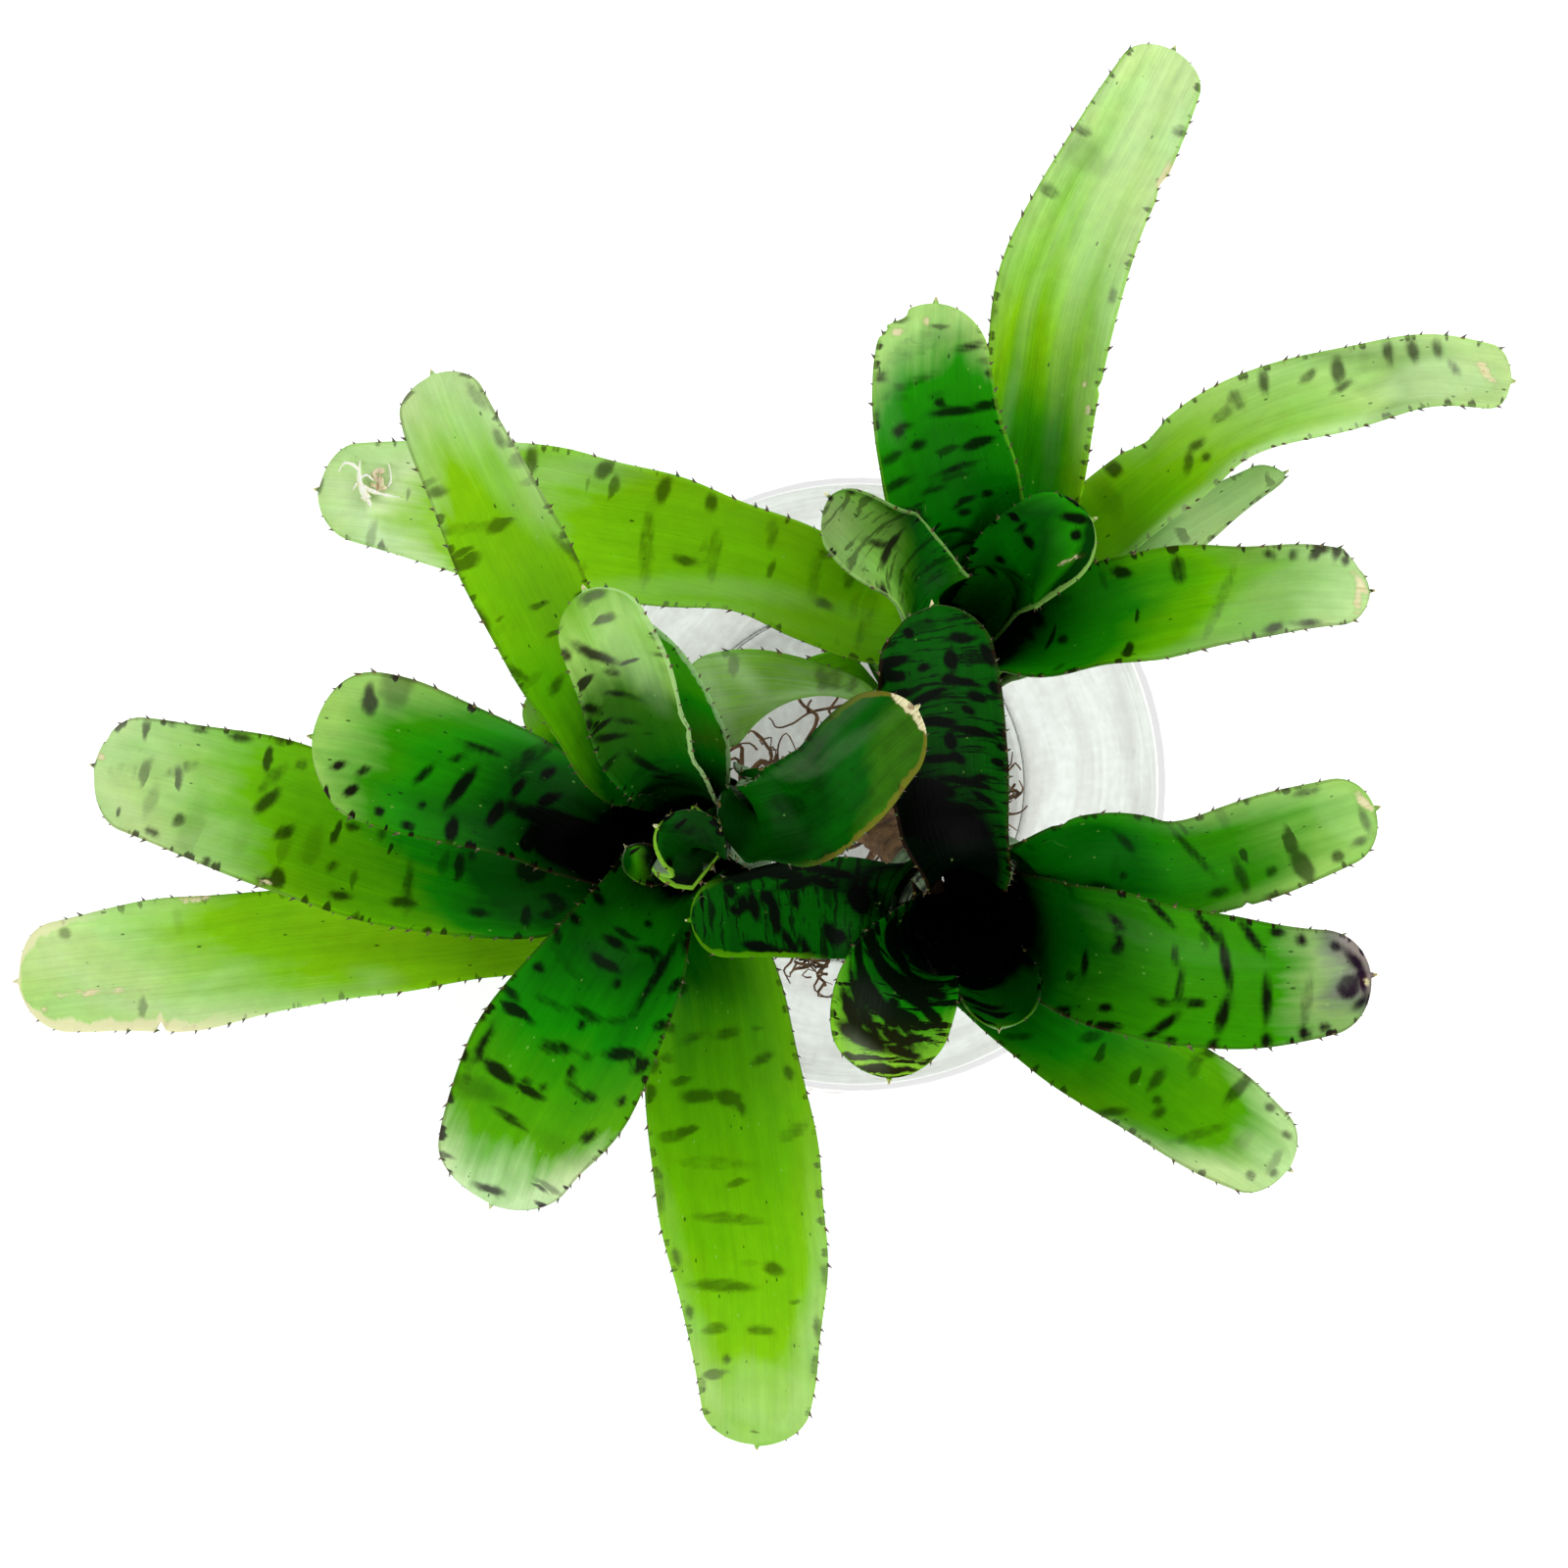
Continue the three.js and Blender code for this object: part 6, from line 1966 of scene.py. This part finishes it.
@dataclass(frozen=True)
class BarkFinish:
    """Brown fibrous bark, paler on its ridges."""

    name: str
    dark: Tint
    light: Tint
    patch: Tint

    def material(self, group: NodeTree, follows_stem: bool = False) -> Material:
        """Makes the bark.

        Args:
            group: The shared bark group.
            follows_stem: Whether the mesh has bark_place and bark_ring.

        Returns:
            The material.
        """
        material, wiring, surface = blank(self.name)
        place = wiring.attribute("bark_place", "Vector") if follows_stem else wiring.place()
        ring = wiring.attribute("bark_ring") if follows_stem else 0.0
        bark = wiring.group(group, Place=place, Ring=ring)
        colour = wiring.mix(bark["Fibres"], self.dark, self.light)
        wiring.fill(surface, {
            "Base Color": wiring.mix(bark["Patches"] * 0.6, colour, self.patch),
            "Roughness": bark["Fibres"].span(0.0, 1.0, 0.72, 0.92),
            "Normal": wiring.bump(0.8, 0.5, bark["Height"])})
        return material


@dataclass
class Rootstock:
    """The three stems with the scars of old leaves, and the runners that join them."""

    stem_base_radius: float = 7
    stem_neck_radius: float = 4.7
    stem_tip_radius: float = 1.7
    neck_height: float = -2.5
    tip_height: float = 20.5
    runner_radius: float = 3.1
    runner_height: float = 19
    runner_sag: float = 4
    scar_spacing: float = 2.3
    joint_spacing: float = 5.2
    scar_depth: float = 0.45
    scar_slant: float = 0.35  # share of the spacing
    lump_sizes: tuple[float, float] = (0.03, 0.08)
    roughness: float = 0.035
    foot_taper: float = 0.75
    foot_share: float = 0.04
    stem_seed: int = 11
    runner_seed: int = 21
    sides: int = 28
    samples: int = 40
    step: float = 0.55

    def course(self, points: Sequence[Array]) -> Array:
        """Returns a smooth course through points, with a row every step."""
        curve = catmull_rom(np.array(points), self.samples)
        lengths = running_lengths(curve)
        return between(np.linspace(0, lengths[-1], int(lengths[-1] / self.step)), lengths, curve)

    def barked(self, name: str, points: Array, radii: Array, spacing: float, seed: int) -> Mesh:
        """Makes a stem or runner with raised rings.

        Args:
            name: The mesh's name.
            points: Its middle line.
            radii: Its radius at each point.
            spacing: Distance between its rings.
            seed: Seed of its unevenness.

        Returns:
            The mesh.
        """
        chances = np.random.default_rng(seed)
        lengths, angles = running_lengths(points)[:, None], around(self.sides)
        slant = self.scar_slant * spacing * np.sin(angles + chances.uniform(0, 6))
        slant = slant + 0.12 * np.sin(3 * angles)
        phase = (lengths + slant) / spacing
        ring = (1 - (phase - np.floor(phase))) ** 2
        lumps = sum(chances.uniform(*self.lump_sizes) * np.sin(k * angles + chances.uniform(0, 6)
                    + lengths * chances.uniform(0.1, 0.5)) for k in (1, 2, 3, 5))
        rough = chances.normal(0, self.roughness, (len(points), self.sides))
        wide = radii[:, None] * (1 + lumps + rough * 0.5) + self.scar_depth * (ring - 0.4)
        skin, faces, place = tube(points, wide)
        place[:, 2] = seed * 13.0
        return plain_mesh(name, skin, faces, bark_place=place, bark_ring=ring.ravel())

    def stem(self, stem: Stem) -> Mesh:
        """Makes one stem.

        Args:
            stem: Which one.

        Returns:
            Its mesh.
        """
        base, axis = stem.rosette.base, stem.rosette.axis
        neck, tip = base + axis * self.neck_height, base + axis * self.tip_height
        points = self.course([stem.foot, (stem.foot + neck) / 2, neck, tip])
        lengths = running_lengths(points)
        below, above = np.linalg.norm(neck - stem.foot), np.linalg.norm(tip - neck)
        shares = [0, self.foot_share, below / (below + above), 1]
        radii = np.interp(lengths / lengths[-1], shares, [
            self.stem_base_radius * self.foot_taper, self.stem_base_radius,
            self.stem_neck_radius, self.stem_tip_radius])
        return self.barked(stem.name.lower() + "_stem", points, radii, self.scar_spacing,
                           self.stem_seed + len(stem.name))

    def runner(self, stem: Stem) -> Mesh:
        """Makes the runner from the left stem to another one.

        Args:
            stem: The other one.

        Returns:
            Its mesh.
        """
        ends = []
        for side in (Stem.LEFT, stem):
            foot, base = side.foot, side.rosette.base
            ends.append(foot + (base - foot) * (self.runner_height - foot[2])
                        / (base[2] - foot[2]))
        middle = (ends[0] + ends[1]) / 2 - np.array([0, 0, self.runner_sag])
        points = self.course([ends[0], middle, ends[1]])
        return self.barked(stem.name.lower() + "_runner", points,
                           np.full(len(points), self.runner_radius), self.joint_spacing,
                           self.runner_seed + len(stem.name))

    def build(self, bark: BarkFinish, group: NodeTree) -> Piece:
        """Builds and dresses stems and runners as one piece.

        Args:
            bark: Their bark.
            group: The shared bark group.

        Returns:
            The finished piece, which stands for the CAD rootstock.
        """
        meshes = [self.stem(stem) for stem in Stem]
        meshes += [self.runner(stem) for stem in (Stem.FRONT, Stem.BACK)]
        return finished("rootstock_bark", joined("rootstock_bark", meshes), "brown_bark",
                        "rootstock", bark.material(group, follows_stem=True))


@dataclass
class Roots:
    """Winding brown roots, which lie on the glass floor, and finer ones between them.

    Attributes:
        main: Stem, direction in degrees, reach and height of the end of each main root.
        tufts: Where tufts of threads are.
    """

    radius: float = 1.1
    wave: float = 3.5
    lying: float = 5.35
    start_height: float = 3
    samples: int = 16
    shares: tuple[float, ...] = (0, 0.3, 0.5, 0.7, 0.85, 1)
    main: tuple[tuple[Stem, float, float, float], ...] = (
        (Stem.FRONT, -8, 41, 7), (Stem.FRONT, -58, 38, 7), (Stem.FRONT, -101, 43, 13),
        (Stem.LEFT, -150, 39, 8), (Stem.LEFT, 165, 33, 6.5),
        (Stem.BACK, 98, 37, 9), (Stem.BACK, 44, 40, 8),
    )
    fine_count: int = 26
    fine_radius: float = 0.62
    fine_spread: float = 95  # degrees to each side of straight outwards
    fine_reach: tuple[float, float] = (20, 38)
    fine_end: tuple[float, float] = (5, 12)
    fine_sizes: tuple[float, float] = (0.7, 1.2)
    tufts: tuple[tuple[float, float, float], ...] = (
        (-20.5, 5, 9), (-18, 6.5, 8), (39, -3.5, 10), (38.5, 0.5, 9), (-8, -47.5, 14),
        (-12, -45, 12),
    )
    tuft_threads: int = 7
    tuft_steps: tuple[float, float, float] = (1.9, 1.9, 0.9)
    tuft_bends: int = 5
    tuft_sizes: tuple[float, float] = (0.4, 0.9)
    seed: int = 5

    def line(self, stem: Stem, direction: float, reach: float, end: float, turn: int) -> Array:
        """Draws one root, which dips to the floor and winds outwards over it.

        Args:
            stem: The stem that it grows from.
            direction: Its direction in degrees.
            reach: Distance of its end from the bowl's middle.
            end: Height of its end.
            turn: Which way it swings first.

        Returns:
            Points of its course.
        """
        angle = math.radians(direction)
        sideways = np.array([-math.sin(angle), math.cos(angle), 0])
        start = stem.foot + np.array([0, 0, self.start_height])
        goal = np.array([reach * math.cos(angle), reach * math.sin(angle), end])
        points, last = [], len(self.shares) - 1
        for bend, share in enumerate(self.shares):
            point = start + (goal - start) * share
            if 0 < bend < last:
                point[2] = self.lying
            if 1 < bend < last:
                point += sideways * self.wave * (1 if (bend + turn) % 2 else -1)
            points.append(point)
        return catmull_rom(np.array(points), self.samples)

    def seedbed(self, lines: Sequence[Array], radii: Sequence[float]) -> Mesh:
        """Makes the lines that the tree grows roots on.

        Args:
            lines: Points of each root.
            radii: Radius of each root.

        Returns:
            A mesh of edges with thread_radius and loose.
        """
        edges, first = [], 0
        for line in lines:
            edges += [(first + i, first + i + 1) for i in range(len(line) - 1)]
            first += len(line)
        return plain_mesh(
            "root_lines", np.vstack(lines), [], edges,
            thread_radius=np.repeat(np.array(radii) * MM, [len(line) for line in lines]),
            loose=np.concatenate([smooth(np.linspace(0, 1, len(line)) / 0.3) for line in lines]))

    def build(self, bark: BarkFinish, group: NodeTree, threads: NodeTree) -> Piece:
        """Builds and dresses the roots.

        Args:
            bark: Their skin.
            group: The shared bark group.
            threads: The tree that grows them.

        Returns:
            The finished piece.
        """
        chances = np.random.default_rng(self.seed)
        lines = [self.line(*root, turn) for turn, root in enumerate(self.main)]
        radii, stems = [self.radius] * len(lines), list(Stem)
        for number in range(self.fine_count):
            stem = stems[number % len(stems)]
            outwards = math.degrees(math.atan2(stem.foot[1], stem.foot[0]))
            aside = chances.uniform(-self.fine_spread, self.fine_spread)
            lines.append(self.line(stem, outwards + aside, chances.uniform(*self.fine_reach),
                                   chances.uniform(*self.fine_end), number))
            radii.append(self.fine_radius * chances.uniform(*self.fine_sizes))
        for middle in np.repeat(self.tufts, self.tuft_threads, axis=0):
            steps = chances.normal(0, self.tuft_steps, (self.tuft_bends, 3))
            course = middle + np.cumsum(steps, axis=0)
            course[:, 2] = np.maximum(course[:, 2], self.lying)
            lines.append(catmull_rom(course, 6))
            radii.append(self.fine_radius * chances.uniform(*self.tuft_sizes))
        mesh = grown("roots_winding", self.seedbed(lines, radii), threads, Wander=5.0 * MM,
                     Seed=self.seed, Material=bark.material(group))
        return finished("roots_winding", mesh, "brown_bark", None)


@dataclass
class Litter:
    """Dried scraps that lie on the long back leaf: pale curling strips and a tan husk.

    A strip is its first and last radius and the points of its course.
    """

    sides: int = 10
    samples: int = 7
    flatness: float = 0.45
    swell: float = 0.12
    swells: float = 19
    pale: tuple[tuple, ...] = (
        (0.2, 0.45, (-113.8, 68.0, 99.3), (-112.2, 69.6, 101.3), (-110.6, 69.4, 101.6),
         (-109.2, 68.3, 100.8)),
        (0.22, 1.25, (-109.0, 70.3, 100.4), (-109.1, 68.2, 100.8), (-109.0, 65.8, 100.6),
         (-108.4, 64.0, 100.4), (-107.3, 61.9, 100.5)),
        (1.2, 0.12, (-107.9, 62.8, 100.3), (-107.3, 61.9, 100.5), (-106.3, 59.9, 101.2)),
        (0.7, 0.12, (-108.2, 64.4, 100.7), (-106.2, 63.6, 101.2), (-103.7, 62.8, 101.2),
         (-100.2, 62.3, 100.7)),
        (0.45, 0.1, (-109.1, 65.6, 100.4), (-109.8, 64.9, 100.8), (-110.6, 63.9, 99.8)),
        (0.3, 0.2, (-108.9, 66.5, 100.8), (-107.3, 67.0, 101.4), (-105.8, 65.8, 101.8)),
        (0.12, 0.28, (-102.7, 69.7, 100.9), (-102.1, 67.0, 101.4), (-102.2, 65.5, 101.2),
         (-102.9, 64.6, 100.6)),
    )
    tan: tuple[tuple, ...] = (
        (0.45, 0.7, (-106.1, 67.0, 101.0), (-105.4, 67.8, 101.3), (-104.3, 68.0, 101.5),
         (-103.8, 67.4, 101.5)),
        (0.6, 0.85, (-105.8, 67.1, 100.8), (-105.2, 66.1, 101.3), (-104.2, 65.9, 101.7),
         (-104.3, 64.9, 101.3), (-103.5, 64.0, 100.7)),
        (0.35, 0.6, (-106.4, 64.9, 101.1), (-105.2, 64.6, 101.5), (-104.6, 63.7, 101.1)),
    )

    def strip(self, name: str, first: float, last: float, *points: Sequence[float]) -> Mesh:
        """Makes one flattened strip.

        Args:
            name: The mesh's name.
            first: Its first radius.
            last: Its last radius.
            *points: Points of its course.

        Returns:
            The mesh.
        """
        line = catmull_rom(np.array(points), self.samples)
        along = np.linspace(0, 1, len(line))
        radii = first + (last - first) * along + self.swell * first * np.sin(self.swells * along)
        flattened = self.flatness + (1 - self.flatness) * np.abs(np.cos(around(self.sides)))
        return plain_mesh(name, *tube(line, radii[:, None] * flattened)[:2])

    def build(self, group: NodeTree) -> Piece:
        """Builds and dresses the scraps.

        Args:
            group: The shared bark group.

        Returns:
            The finished piece.
        """
        parts = []
        for strips, finish in (
            (self.pale, BarkFinish("scrap_pale", Tint.CREAM, Tint.PAPER, Tint.PAPER)),
            (self.tan, BarkFinish("scrap_tan", Tint.CORK, Tint.CREAM, Tint.SHELL)),
        ):
            whole = joined(finish.name, [self.strip("strip", *strip) for strip in strips])
            whole.materials.append(finish.material(group))
            parts.append(whole)
        return finished("dry_scraps", joined("dry_scraps", parts), "brown_bark", None)


# ---------------------------------------------------------------- studio


@dataclass(frozen=True)
class Lamp:
    """A soft square lamp that looks at the plant. Lengths are in metres."""

    name: str
    place: tuple[float, float, float]
    size: float
    power: float
    looks_at: tuple[float, float, float] = (-0.02, 0.0, 0.1)

    def build(self) -> None:
        """Hangs the lamp."""
        data = bpy.data.lights.new(self.name, "AREA")
        data.shape, data.size, data.energy = "SQUARE", self.size, self.power
        light = bpy.data.objects.new(self.name, data)
        light.location = self.place
        light.rotation_mode = "QUATERNION"
        towards = Vector(self.looks_at) - Vector(self.place)
        light.rotation_quaternion = towards.to_track_quat("-Z", "Y")
        bpy.context.scene.collection.objects.link(light)


@dataclass
class Studio:
    """The camera, a plain pale floor and soft light. Lengths are in metres."""

    eye: tuple[float, float, float] = (-0.0168, 0.0, 0.62)
    half_frame: float = 800 / 2439
    sensor: float = 36
    floor_half: float = 6.0
    floor_gap: float = 0.00002  # below the bowl's foot, so that the two don't flicker
    world: float = 0.2
    backdrop: float = 0.94
    floor_glow: float = 0.36
    lamps: tuple[Lamp, ...] = (
        Lamp("key", (0.85, 0.8, 0.95), 1.0, 17.5),
        Lamp("fill", (-1.05, -0.35, 0.85), 1.2, 11.5),
        Lamp("low", (0.25, -1.15, 0.7), 1.0, 7.5),
    )

    def build(self) -> None:
        """Makes camera, lamps, floor and background."""
        scene = bpy.context.scene
        camera = bpy.data.cameras.new("camera")
        camera.sensor_width = self.sensor
        camera.lens = self.sensor / 2 / self.half_frame
        camera.clip_start, camera.clip_end = 0.01, 50
        scene.camera = bpy.data.objects.new("camera", camera)
        scene.camera.location = self.eye
        scene.collection.objects.link(scene.camera)
        for lamp in self.lamps:
            lamp.build()
        self.floor()
        self.background()
        scene.view_settings.view_transform = "Standard"

    def floor(self) -> None:
        """Makes the floor, which isn't part of the plant."""
        corners = np.array([(-1, -1, 0), (1, -1, 0), (1, 1, 0), (-1, 1, 0)]) * self.floor_half
        corners[:, 2] = -self.floor_gap
        material, wiring, surface = blank("paper_floor")
        cloud = wiring.node("ShaderNodeTexCoord", {})["Object"].noise((3, 3, 3), 3)
        wiring.fill(surface, {"Base Color": wiring.mix(cloud, Tint.PAPER, Tint.GLASS),
                              "Roughness": 0.9, "Specular IOR Level": 0.1,
                              "Emission Color": WHITE, "Emission Strength": self.floor_glow})
        shown("floor", plain_mesh("floor", corners / MM, [[0, 1, 2, 3]]), material)

    def background(self) -> None:
        """Makes the soft surroundings, which look white behind the plant."""
        world = bpy.data.worlds.new("studio")
        bpy.context.scene.world = world
        world.use_nodes = True
        wiring = Wiring(world.node_tree)
        lighting = wiring.node("ShaderNodeLightPath", {})["Is Diffuse Ray"]
        strength = lighting.span(0.0, 1.0, self.backdrop, self.world, soft=False)
        wiring.fill(world.node_tree.nodes["Background"], {"Color": WHITE, "Strength": strength})


# ---------------------------------------------------------------- the whole plant


def report(piece: Piece) -> None:
    """Says that a piece is done."""
    LOG.info("%s: %d faces", piece.name, len(piece.data.polygons))


def main() -> None:
    """Builds the studio, then the plant piece by piece."""
    logging.basicConfig(level=logging.INFO, format="%(message)s")
    Studio().build()
    materials, spines = LeafMaterials(), spine_rows()
    for seed, leaf in enumerate(LEAVES, start=1):
        report(LeafBody(leaf, FINISHES[leaf.label], seed).build(materials, spines))
    bark = fibre_bark()
    stem_bark = BarkFinish("stem_bark", Tint.LOAM, Tint.BARK, Tint.CORK)
    root_skin = BarkFinish("root_skin", Tint.BARK, Tint.ROOT, Tint.LOAM)
    report(Bowl().build(GlassFinish()))
    report(Rootstock().build(stem_bark, bark))
    report(Roots().build(root_skin, bark, winding_threads()))
    report(Litter().build(bark))
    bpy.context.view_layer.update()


if __name__ == "__main__":
    main()
